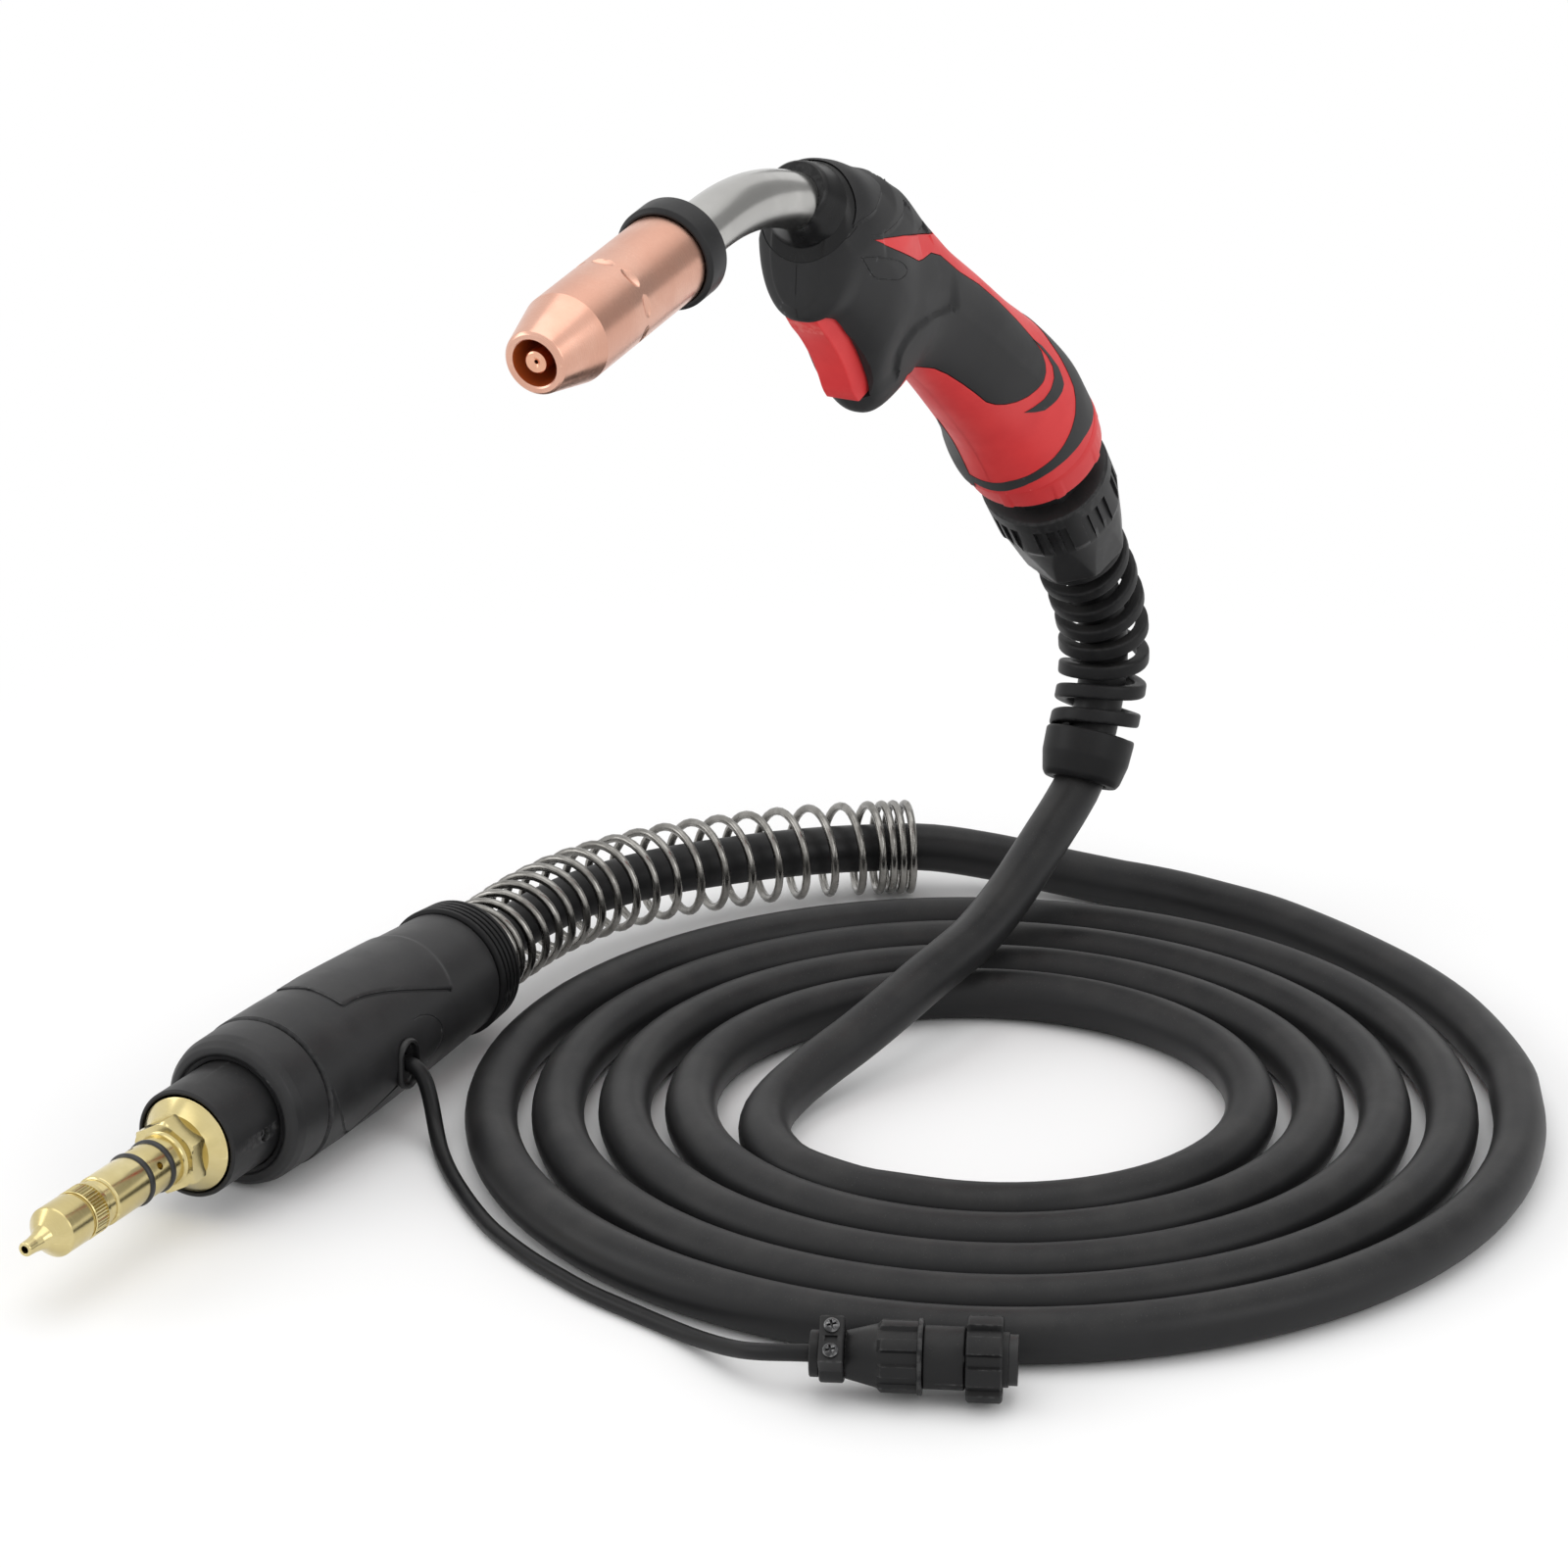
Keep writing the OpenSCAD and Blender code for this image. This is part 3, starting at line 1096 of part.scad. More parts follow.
nozzle();
contact_tip();
gas_diffuser();
insulating_ring();
neck_jacket();
neck_insulation();
neck_conductor();
neck_boot();
neck_clamp();
handle_shell_left();
handle_shell_right();
grip_pad_left();
grip_pad_right();
rear_ring();
socket_ring();
shell_screws();
trigger();
trigger_pin();
trigger_spring();
micro_switch();
switch_button();
front_terminal();
handle_cable();
swivel_ball();
gland_spigot();
spigot_clip();
gland_nut();
strain_relief();
cable_riser();
cable_coil();
cable_tail();
support_spring();
housing_shell_left();
housing_shell_right();
housing_front_ring();
front_collar();
collar_screws();
rear_cap();
rear_terminal();
power_pin();
pin_o_rings();
pin_nose();
lead_grommet();
control_lead();
plug_cap();
plug_clamp();
plug_clamp_screws();
plug_backshell();
plug_barrel();
plug_coupling();
plug_insert();
plug_contacts();
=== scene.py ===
"""Looks of a hand-held arc welding torch with its coiled lead, rear connector and control plug.

Every length in the classes is in millimetres and is turned into metres where a mesh is made.
"""
from __future__ import annotations

import logging
import math
from dataclasses import dataclass, field
from enum import Enum
from typing import Callable, Sequence

import bmesh
import bpy
import numpy as np
from mathutils import Matrix, Vector


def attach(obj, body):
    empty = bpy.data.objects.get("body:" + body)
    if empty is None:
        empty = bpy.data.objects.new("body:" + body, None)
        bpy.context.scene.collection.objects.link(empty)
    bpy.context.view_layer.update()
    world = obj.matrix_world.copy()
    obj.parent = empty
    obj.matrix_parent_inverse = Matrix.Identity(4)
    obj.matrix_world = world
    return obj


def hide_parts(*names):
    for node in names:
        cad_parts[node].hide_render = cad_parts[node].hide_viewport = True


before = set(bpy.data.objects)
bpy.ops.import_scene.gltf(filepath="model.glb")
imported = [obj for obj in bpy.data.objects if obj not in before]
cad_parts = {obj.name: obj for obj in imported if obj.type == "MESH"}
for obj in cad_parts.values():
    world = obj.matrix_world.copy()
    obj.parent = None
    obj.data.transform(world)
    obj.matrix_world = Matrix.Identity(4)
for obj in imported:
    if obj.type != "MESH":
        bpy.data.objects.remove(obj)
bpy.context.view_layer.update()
LOG = logging.getLogger("torch")
MM = 0.001
TORCH_Y = 46.0
Array = np.ndarray
Outline = Sequence[Sequence[float]]
Piece = bpy.types.Object
Socket = bpy.types.NodeSocket


# ------------------------------------------------------------------ curves and frames


def unit(v: Array) -> Array:
    """Vectors of length 1 along the last axis of v."""
    v = np.asarray(v, float)
    return v / np.linalg.norm(v, axis=-1, keepdims=True)


def smooth(t: Array) -> Array:
    """Smooth step: 0 below 0, 1 above 1, with flat ends."""
    t = np.clip(t, 0.0, 1.0)
    return t * t * (3 - 2 * t)


def catmull(points: Array, u: Array) -> Array:
    """Catmull-Rom curve, which passes through its points.

    Args:
        points: (n, k) points.
        u: parameters from 0 to n - 1.

    Returns:
        One k-vector for each parameter.
    """
    points = np.asarray(points, float)
    n = len(points)
    u = np.asarray(u, float)
    i = np.clip(np.floor(u).astype(int), 0, n - 1)
    t = (u - i)[..., None]
    a, b, c, d = (points[np.clip(i + k, 0, n - 1)] for k in (-1, 0, 1, 2))
    return 0.5 * (2 * b + (c - a) * t + (2 * a - 5 * b + 4 * c - d) * t**2 + (3 * b - a - 3 * c + d) * t**3)


def distances(points: Array) -> Array:
    """Distance of each point of a chain from its start."""
    return np.concatenate([[0.0], np.cumsum(np.linalg.norm(np.diff(points, axis=0), axis=1))])


def looked_up(grid: Array, run: Array, want: Array) -> Array:
    """Rows of a grid at wanted distances, worked out from the distances of its own rows."""
    return np.stack([np.interp(want, run, grid[:, k]) for k in range(3)], axis=1)


def evenly_chain(points: Array, step: float) -> Array:
    """Points at equal distances along a chain, its ends included.

    Args:
        points: (n, 3) chain.
        step: distance between two results, which is rounded so that both ends are kept.

    Returns:
        (m, 3) points.
    """
    gap = np.linalg.norm(np.diff(points, axis=0), axis=1)
    points = points[np.concatenate([[True], gap > 1e-6])]
    run = distances(points)
    return looked_up(points, run, np.linspace(0, run[-1], int(round(run[-1] / step)) + 1))


def evenly(points: Array, step: float) -> Array:
    """Points at equal distances along the Catmull-Rom curve through some points."""
    return evenly_chain(catmull(points, np.linspace(0, len(points) - 1, 40 * len(points))), step)


def carried(points: Array, ref: Sequence[float]) -> tuple[Array, Array, Array]:
    """Frames carried along a chain without twist.

    Args:
        points: (n, 3) chain.
        ref: direction that the first side vector is square to.

    Returns:
        Tangents, side vectors and their cross products, each (n, 3).
    """
    tangent = unit(np.gradient(points, axis=0))
    side = np.empty_like(tangent)
    side[0] = unit(np.cross(tangent[0], ref))
    for k in range(1, len(points)):
        side[k] = unit(side[k - 1] - (side[k - 1] @ tangent[k]) * tangent[k])
    return tangent, side, np.cross(tangent, side)


def filleted(profile: Outline, radius: float, closed: bool = True, steps: int = 3) -> Array:
    """Outline with its corners rounded by short quadratic curves.

    Args:
        profile: (n, 2) corners.
        radius: how far from a corner its curve starts; at most 0.45 of the shorter side.
        closed: whether the last corner joins the first.
        steps: segments in a rounded corner.

    Returns:
        (m, 2) points.
    """
    p = np.asarray(profile, float)
    before, after = np.roll(p, 1, axis=0), np.roll(p, -1, axis=0)
    back, ahead = np.linalg.norm(before - p, axis=1), np.linalg.norm(after - p, axis=1)
    reach = np.minimum(radius, 0.45 * np.minimum(back, ahead))[:, None]
    start = p + (before - p) / back[:, None] * reach
    end = p + (after - p) / ahead[:, None] * reach
    t = np.linspace(0, 1, steps + 1)[None, :, None]
    arcs = (1 - t) ** 2 * start[:, None] + 2 * t * (1 - t) * p[:, None] + t**2 * end[:, None]
    if closed:
        return arcs.reshape(-1, 2)
    return np.concatenate([p[:1], arcs[1:-1].reshape(-1, 2), p[-1:]])


@dataclass(frozen=True)
class Place:
    """A local frame: its origin, its forward axis and the direction of its angle 0."""

    at: tuple[float, float, float]
    along: tuple[float, float, float]
    side: tuple[float, float, float]

    def point(self, s: Array, r: Array, angle: Array) -> Array:
        """Points round the axis.

        Args:
            s: distances ahead of the origin.
            r: distances off the axis.
            angle: angles in radians.

        Returns:
            One point for each set of arguments.
        """
        s, r, angle = np.broadcast_arrays(s, r, angle)
        z, x = np.array(self.along), np.array(self.side)
        y = np.cross(z, x)
        out = np.cos(angle)[..., None] * x + np.sin(angle)[..., None] * y
        return np.array(self.at) + s[..., None] * z + r[..., None] * out

    def local(self, x: Array, y: Array, z: Array) -> Array:
        """Points from coordinates in the frame.

        Args:
            x: coordinates along the direction of angle 0.
            y: coordinates along the direction of a quarter turn.
            z: distances ahead of the origin.

        Returns:
            One point for each set of arguments.
        """
        x, y, z = np.broadcast_arrays(*(np.asarray(k, float) for k in (x, y, z)))
        a, c = np.array(self.side), np.array(self.along)
        return np.array(self.at) + x[..., None] * a + y[..., None] * np.cross(c, a) + z[..., None] * c

    def moved(self, s: float) -> "Place":
        """The same frame with its origin s further along."""
        return Place(tuple(np.array(self.at) + s * np.array(self.along)), self.along, self.side)


def in_plane(x: float, z: float, slope: float) -> Place:
    """Frame in the torch's own plane whose forward axis rises by slope degrees from +X."""
    c, s = math.cos(math.radians(slope)), math.sin(math.radians(slope))
    return Place((x, TORCH_Y, z), (c, 0.0, s), (s, 0.0, -c))


# ------------------------------------------------------------------ meshes


def band_faces(m: int, n: int, wrap_u: bool, wrap_v: bool) -> Array:
    """Quads of a grid, which face out where v turns left round the direction of u.

    Args:
        m: rows of the grid.
        n: points in a row.
        wrap_u: whether the last row joins the first.
        wrap_v: whether the last point of a row joins its first.

    Returns:
        (k, 4) numbers of points.
    """
    i = np.arange(m if wrap_u else m - 1)[:, None]
    k = np.arange(n if wrap_v else n - 1)[None, :]
    i2, k2 = (i + 1) % m, (k + 1) % n
    return np.stack([i * n + k, i * n + k2, i2 * n + k2, i2 * n + k], axis=-1).reshape(-1, 4)


def build(name: str, points: Array, faces: Sequence[Array], crease: float = 32.0) -> Piece:
    """A mesh object at the origin.

    Args:
        name: piece name.
        points: (n, 3) points in millimetres.
        faces: arrays of quads or triangles.
        crease: edges that turn by more than this many degrees are sharp.

    Returns:
        The object, shaded smooth between its sharp edges.
    """
    mesh = bpy.data.meshes.new(name)
    rows: list[list[int]] = []
    for block in faces:
        rows += np.asarray(block).tolist()
    mesh.from_pydata((np.asarray(points, float) * MM).tolist(), [], rows)
    mesh.validate()
    piece = bpy.data.objects.new(name, mesh)
    bpy.context.scene.collection.objects.link(piece)
    soften(piece, crease)
    return piece


def soften(piece: Piece, crease: float = 32.0) -> None:
    """Shades a piece smooth between its sharp edges.

    Args:
        piece: the piece.
        crease: edges that turn by more than this many degrees are sharp.
    """
    mesh = piece.data
    mesh.polygons.foreach_set("use_smooth", np.ones(len(mesh.polygons), bool))
    mesh.set_sharp_from_angle(angle=math.radians(crease))
    mesh.update()


def skinned(name: str, grid: Array, crease: float = 32.0, wrap_u: bool = False, caps: bool = True) -> Piece:
    """Closed skin over rings of points.

    Args:
        name: piece name.
        grid: (m, n, 3) rings, each going left round the direction of travel.
        crease: angle of sharp edges in degrees.
        wrap_u: whether the last ring joins the first.
        caps: whether open ends are closed by fans round their middles.

    Returns:
        The piece.
    """
    m, n = grid.shape[:2]
    points = grid.reshape(-1, 3)
    faces = [band_faces(m, n, wrap_u, True)]
    if caps and not wrap_u:
        k = np.arange(n)
        mids = np.stack([grid[0].mean(0), grid[-1].mean(0)])
        first, last = m * n, m * n + 1
        points = np.concatenate([points, mids])
        faces.append(np.stack([np.full(n, first), (k + 1) % n, k], axis=1))
        faces.append(np.stack([np.full(n, last), (m - 1) * n + k, (m - 1) * n + (k + 1) % n], axis=1))
    return build(name, points, faces, crease)


def turned(name: str, place: Place, profile: Outline, sides: int = 96, fillet: float = 0.0,
           hollow: bool = True, relief: Callable[[Array, Array, Array], Array] | None = None,
           angles: Array | None = None, crease: float = 32.0) -> Piece:
    """Surface of revolution: each profile point [s, r] goes round the axis.

    Args:
        name: piece name.
        place: frame of the axis.
        profile: outline, out along +s and back along the bore if it is hollow.
        sides: points in a ring.
        fillet: rounding of the outline's corners.
        hollow: the outline is closed on itself; otherwise its ends are capped.
        relief: added to the radius, from distance, radius and angle.
        angles: angles of the ring's points, when they aren't even.
        crease: angle of sharp edges in degrees.

    Returns:
        The piece.
    """
    outline = np.asarray(profile, float)
    if fillet:
        outline = filleted(outline, fillet, hollow)
    turn = np.linspace(0, 2 * math.pi, sides, endpoint=False) if angles is None else angles
    s, r = outline[:, :1], outline[:, 1:]
    radius = np.maximum(r + (relief(s, r, turn[None, :]) if relief else 0.0 * turn[None, :]), 0.001)
    return skinned(name, place.point(s + 0 * radius, radius, turn[None, :] + 0 * radius), crease,
                   wrap_u=hollow, caps=not hollow)


def tube(name: str, path: Array, radius: Array | float, sides: int = 24,
         ref: Sequence[float] = (0, 0, 1)) -> Piece:
    """Round tube along a chain, with a UV map of metres along and round it.

    Args:
        name: piece name.
        path: (n, 3) centre line.
        radius: one radius or one for each point.
        sides: points in a ring.
        ref: direction square to the first side vector.

    Returns:
        The piece.
    """
    _, side, up = carried(path, ref)
    turn = np.linspace(0, 2 * math.pi, sides, endpoint=False)[None, :, None]
    radius = np.broadcast_to(np.asarray(radius, float), (len(path),))[:, None, None]
    ring = np.cos(turn) * side[:, None] + np.sin(turn) * up[:, None]
    piece = skinned(name, path[:, None] + radius * ring)
    run = distances(path) * MM
    mesh = piece.data
    vertex = np.empty(len(mesh.loops), np.int64)
    mesh.loops.foreach_get("vertex_index", vertex)
    ring_of, seat = np.minimum(vertex // sides, len(path) - 1), vertex % sides
    total = np.empty(len(mesh.polygons), np.int64)
    mesh.polygons.foreach_get("loop_total", total)
    face = np.repeat(np.arange(len(total)), total)
    highest = np.zeros(len(total), np.int64)
    np.maximum.at(highest, face, seat)
    seat = np.where((seat == 0) & (highest[face] == sides - 1), sides, seat)
    uv = np.stack([run[ring_of], seat / sides], axis=1)
    layer = mesh.uv_layers.new(name="along")
    layer.data.foreach_set("uv", uv.astype(np.float32).ravel())
    return piece


def wound(outline: Outline) -> Array:
    """Outline turned so that it goes left round.

    Args:
        outline: (n, 2) corners.

    Returns:
        (n, 2) corners.
    """
    p = np.asarray(outline, float)
    area = np.sum(p[:, 0] * np.roll(p[:, 1], -1) - np.roll(p[:, 0], -1) * p[:, 1])
    return p if area > 0 else p[::-1]


def grown(outline: Outline, by: float) -> Array:
    """Outline pushed outwards along the mean normals of its corners.

    Args:
        outline: (n, 2) corners.
        by: how far it is pushed.

    Returns:
        (n, 2) corners.
    """
    p = wound(outline)
    d = unit(np.roll(p, -1, axis=0) - p)
    normal = np.stack([d[:, 1], -d[:, 0]], axis=1)
    both = unit(normal + np.roll(normal, 1, axis=0))
    reach = by / np.maximum(0.35, np.sum(both * normal, axis=1))
    return p + both * reach[:, None]


def prism(name: str, outline: Outline, y0: float, y1: float) -> Piece:
    """Block between two levels of Y.

    Args:
        name: piece name.
        outline: (n, 2) corners [x, z], either way round.
        y0: near level.
        y1: far level.

    Returns:
        The piece.
    """
    p = wound(outline)
    n, k = len(p), np.arange(len(p))
    points = np.concatenate([np.stack([p[:, 0], np.full(n, y), p[:, 1]], axis=1) for y in (y0, y1)])
    sides = np.stack([n + k, n + (k + 1) % n, (k + 1) % n, k], axis=1)
    piece = build(name, points, [k[None, ::-1], n + k[None], sides])
    fix_normals(piece)
    return piece


def brick(name: str, centre: Array, axes: Sequence[Array], half: Sequence[float]) -> Piece:
    """Box with its own axes.

    Args:
        name: piece name.
        centre: its middle.
        axes: three unit vectors.
        half: half its size along each of them.

    Returns:
        The piece.
    """
    a, b, c = (np.asarray(axis) * size for axis, size in zip(axes, half))
    ends = ((-1, -1), (1, -1), (1, 1), (-1, 1))
    corners = [centre + c * k + a * i + b * j for k in (-1, 1) for i, j in ends]
    faces = [[0, 3, 2, 1], [4, 5, 6, 7], [0, 1, 5, 4], [1, 2, 6, 5], [2, 3, 7, 6], [3, 0, 4, 7]]
    piece = build(name, np.array(corners), [np.array(faces)])
    fix_normals(piece)
    return piece


def fix_normals(piece: Piece) -> None:
    """Points the faces of a closed mesh outwards.

    Args:
        piece: the closed piece.
    """
    bm = bmesh.new()
    bm.from_mesh(piece.data)
    bmesh.ops.recalc_face_normals(bm, faces=bm.faces)
    bm.to_mesh(piece.data)
    bm.free()


class Cut(Enum):
    """What a carving tool does to a piece."""

    TAKE = "DIFFERENCE"
    KEEP = "INTERSECT"
    ADD = "UNION"


def carve(piece: Piece, tool: Piece, how: Cut = Cut.TAKE, crease: float = 32.0) -> Piece:
    """Cuts a piece with a closed tool, and bakes the result into its mesh.

    Args:
        piece: closed mesh that is changed.
        tool: closed mesh that is removed afterwards.
        how: subtract, intersect or unite.
        crease: angle of sharp edges in degrees.

    Returns:
        The piece.
    """
    step = piece.modifiers.new("carve", "BOOLEAN")
    step.object, step.operation, step.solver = tool, how.value, "MANIFOLD"
    graph = bpy.context.evaluated_depsgraph_get()
    made = bpy.data.meshes.new_from_object(piece.evaluated_get(graph))
    if not len(made.polygons):
        LOG.warning("%s: nothing left after %s with %s", piece.name, how.name, tool.name)
    old, piece.data = piece.data, made
    piece.modifiers.clear()
    bpy.data.meshes.remove(old)
    made.name = piece.name
    bpy.data.objects.remove(tool)
    soften(piece, crease)
    return piece


def bored(piece: Piece, place: Place, profile: Outline, how: Cut = Cut.TAKE, sides: int = 96,
          crease: float = 32.0) -> Piece:
    """Carves a piece with a solid that is turned about an axis.

    Args:
        piece: closed mesh that is changed.
        place: frame of the axis.
        profile: rows of distance and radius, whose ends are closed.
        how: subtract, intersect or unite.
        sides: points in a ring of the tool.
        crease: angle of sharp edges in degrees.

    Returns:
        The piece.
    """
    return carve(piece, turned("tool", place, profile, sides, hollow=False), how, crease)


def copied(piece: Piece, name: str) -> Piece:
    """A second object with its own copy of a piece's mesh.

    Args:
        piece: the first one.
        name: name of the second.

    Returns:
        The second object.
    """
    twin = bpy.data.objects.new(name, piece.data.copy())
    bpy.context.scene.collection.objects.link(twin)
    return twin


def joined(name: str, parts: Sequence[Piece]) -> Piece:
    """One object with the meshes of several, which are removed.

    Args:
        name: name of the new object.
        parts: the several objects.

    Returns:
        The new object.
    """
    bm = bmesh.new()
    for part in parts:
        bm.from_mesh(part.data)
        bpy.data.objects.remove(part)
    mesh = bpy.data.meshes.new(name)
    bm.to_mesh(mesh)
    bm.free()
    piece = bpy.data.objects.new(name, mesh)
    bpy.context.scene.collection.objects.link(piece)
    soften(piece)
    return piece


# ------------------------------------------------------------------ shader trees


def srgb(r: float, g: float, b: float) -> tuple[float, float, float, float]:
    """Linear colour of three display values from 0 to 255."""
    v = [c / 255 for c in (r, g, b)]
    return tuple(c / 12.92 if c <= 0.04045 else ((c + 0.055) / 1.055) ** 2.4 for c in v) + (1.0,)


class Shade:
    """Adds nodes to one shader tree and links them."""

    def __init__(self, tree: bpy.types.NodeTree) -> None:
        """Keeps the tree that is built."""
        self.tree, self.count = tree, 0

    def add(self, kind: str, inputs: dict | None = None, **settings: object) -> bpy.types.Node:
        """A node of a kind.

        Args:
            kind: type name of the node.
            inputs: sockets or constants for its inputs, by name or number.
            settings: properties of the node.

        Returns:
            The node.
        """
        node = self.tree.nodes.new(kind)
        node.location = (230 * (self.count % 9), -300 * (self.count // 9))
        self.count += 1
        for key, value in settings.items():
            setattr(node, key, value)
        for key, value in (inputs or {}).items():
            if isinstance(value, Socket):
                self.tree.links.new(value, node.inputs[key])
            else:
                node.inputs[key].default_value = value
        return node

    def math(self, how: str, *terms: object, clamp: bool = False) -> Socket:
        """Result of a Math node on one to three sockets or numbers."""
        return self.add("ShaderNodeMath", dict(enumerate(terms)), operation=how, use_clamp=clamp).outputs[0]

    def vector(self, how: str, *terms: object) -> Socket:
        """Result of a Vector Math node; a dot product or length gives its number."""
        node = self.add("ShaderNodeVectorMath", dict(enumerate(terms)), operation=how)
        return node.outputs["Value" if how in ("DOT_PRODUCT", "LENGTH") else "Vector"]

    def noise(self, at: object, scale: object, detail: float = 2.0, rough: float = 0.5) -> Socket:
        """Value of a noise texture."""
        inputs = {"Vector": at, "Scale": scale, "Detail": detail, "Roughness": rough}
        return self.add("ShaderNodeTexNoise", inputs).outputs[0]

    def step(self, value: object, low: float, high: float, to_low: float = 0.0,
             to_high: float = 1.0) -> Socket:
        """Value carried from low..high to to_low..to_high with smooth ends."""
        inputs = {"Value": value, "From Min": low, "From Max": high, "To Min": to_low, "To Max": to_high}
        return self.add("ShaderNodeMapRange", inputs, interpolation_type="SMOOTHSTEP").outputs[0]

    def blend(self, amount: object, first: object, second: object) -> Socket:
        """Colour between two colours."""
        return self.add("ShaderNodeMix", {0: amount, 6: first, 7: second}, data_type="RGBA").outputs[2]

    def stretched(self, at: object, turn: Sequence[float], scale: Sequence[float]) -> Socket:
        """Coordinates turned and scaled by a Mapping node."""
        return self.add("ShaderNodeMapping", {"Vector": at, "Rotation": turn, "Scale": scale}).outputs[0]

    def group(self, tree: bpy.types.NodeTree, **inputs: object) -> Socket:
        """Value of a node group."""
        return self.add("ShaderNodeGroup", inputs, node_tree=tree).outputs[0]


def emptied(owner: bpy.types.Material | bpy.types.World) -> Shade:
    """Clears the nodes of a material or a world.

    Args:
        owner: what the nodes belong to.

    Returns:
        A builder for its new nodes.
    """
    owner.use_nodes = True
    owner.node_tree.nodes.clear()
    return Shade(owner.node_tree)


Took = dict[str, Socket]


def effect(name: str, takes: dict[str, float | None],
           value: Callable[[Shade, Took], Socket]) -> bpy.types.NodeTree:
    """Makes a node group that gives one value.

    Args:
        name: the group's name.
        takes: its inputs and their defaults; None makes a vector.
        value: builds the value from the group's inputs.

    Returns:
        The group.
    """
    tree = bpy.data.node_groups.new(name, "ShaderNodeTree")
    for key, default in takes.items():
        kind = "NodeSocketVector" if default is None else "NodeSocketFloat"
        socket = tree.interface.new_socket(name=key, in_out="INPUT", socket_type=kind)
        if default is not None:
            socket.default_value = default
    tree.interface.new_socket(name="Result", in_out="OUTPUT", socket_type="NodeSocketFloat")
    shade = Shade(tree)
    start = shade.add("NodeGroupInput")
    end = shade.add("NodeGroupOutput")
    tree.links.new(value(shade, {key: start.outputs[key] for key in takes}), end.inputs[0])
    return tree


class Effects:
    """Node groups that the finishes share.

    Each is worked out by a method that takes a builder and the group's inputs and returns one value.
    """

    def __init__(self) -> None:
        """Makes the groups."""
        at = {"Coordinates": None}
        self.patches = effect("Uneven patches", at | {"Scale": 40.0}, self.patch)
        self.moulded = effect("Moulded grain", at | {"Scale": 2000.0, "Depth": 1e-5}, self.grain)
        self.worn = effect("Rubbed edges", at | {"Amount": 0.5}, self.wear)
        self.dust = effect("Settled dust", at | {"Amount": 0.2}, self.settled)
        self.turning = effect("Turning lines", at | {"Centre": None, "Axis": None, "Lines": 9000.0},
                              self.lathe)
        self.scratches = effect("Fine scratches", at | {"Amount": 0.3}, self.scratched)
        self.sheath = effect("Drawn sheath", at | {"Depth": 2e-5}, self.drawn)

    @staticmethod
    def patch(s: Shade, took: Took) -> Socket:
        """Soft uneven patches: layered noise, spread to 0..1."""
        return s.step(s.noise(took["Coordinates"], took["Scale"], 4, 0.6), 0.34, 0.66)

    @staticmethod
    def grain(s: Shade, took: Took) -> Socket:
        """Height of a spark-eroded mould: rounded cells with finer noise on them, in metres.

        Args:
            s: builder of the group.
            took: the group's inputs.

        Returns:
            The height.
        """
        cells = s.add("ShaderNodeTexVoronoi", {"Vector": took["Coordinates"],
                                               "Scale": took["Scale"]}).outputs[0]
        fine = s.noise(took["Coordinates"], s.math("MULTIPLY", took["Scale"], 0.45), 3, 0.6)
        return s.math("MULTIPLY", s.math("MULTIPLY_ADD", cells, 0.6, fine), took["Depth"])

    @staticmethod
    def wear(s: Shade, took: Took) -> Socket:
        """Mask of rubbed edges: where the surface is sharply convex, broken up by noise.

        Args:
            s: builder of the group.
            took: the group's inputs.

        Returns:
            The mask.
        """
        point = s.add("ShaderNodeNewGeometry").outputs["Pointiness"]
        edge = s.step(point, 0.515, 0.6)
        rough = s.step(s.noise(took["Coordinates"], 450.0, 5, 0.65), 0.4, 0.62)
        return s.math("MULTIPLY", s.math("MULTIPLY", edge, rough), took["Amount"], clamp=True)

    @staticmethod
    def settled(s: Shade, took: Took) -> Socket:
        """Mask of dust: on faces that look up, in drifts and specks.

        Args:
            s: builder of the group.
            took: the group's inputs.

        Returns:
            The mask.
        """
        normal = s.add("ShaderNodeNewGeometry").outputs["Normal"]
        up = s.step(s.vector("DOT_PRODUCT", normal, (0.0, 0.0, 1.0)), 0.2, 1.0)
        drift = s.step(s.noise(took["Coordinates"], 55.0, 4, 0.6), 0.35, 0.75)
        speck = s.step(s.noise(took["Coordinates"], 1900.0, 1, 0.5), 0.66, 0.74)
        both = s.math("MAXIMUM", s.math("MULTIPLY", drift, 0.5), speck)
        return s.math("MULTIPLY", s.math("MULTIPLY", up, both), took["Amount"], clamp=True)

    @staticmethod
    def lathe(s: Shade, took: Took) -> Socket:
        """Lathe lines: noise of the distance along an axis alone, from 0 to 1.

        Args:
            s: builder of the group.
            took: the group's inputs.

        Returns:
            The value.
        """
        off = s.vector("SUBTRACT", took["Coordinates"], took["Centre"])
        run = s.math("MULTIPLY", s.vector("DOT_PRODUCT", off, took["Axis"]), took["Lines"])
        at = s.add("ShaderNodeCombineXYZ", {0: run}).outputs[0]
        return s.noise(at, 1.0, 3, 0.7)

    @staticmethod
    def scratched(s: Shade, took: Took) -> Socket:
        """Mask of fine scratches: two noises stretched along slanted directions, cut to their crests.

        Args:
            s: builder of the group.
            took: the group's inputs.

        Returns:
            The mask.
        """
        lines = []
        for turn, scale in (((0.4, 0.9, 0.3), (60.0, 3200.0, 2600.0)),
                            ((1.7, -0.5, 2.2), (90.0, 2900.0, 3400.0))):
            at = s.stretched(took["Coordinates"], turn, scale)
            lines.append(s.step(s.noise(at, 1.0, 1, 0.4), 0.71, 0.76))
        gaps = s.step(s.noise(took["Coordinates"], 90.0, 2, 0.5), 0.45, 0.65)
        return s.math("MULTIPLY", s.math("MULTIPLY", s.math("MAXIMUM", *lines), gaps), took["Amount"])

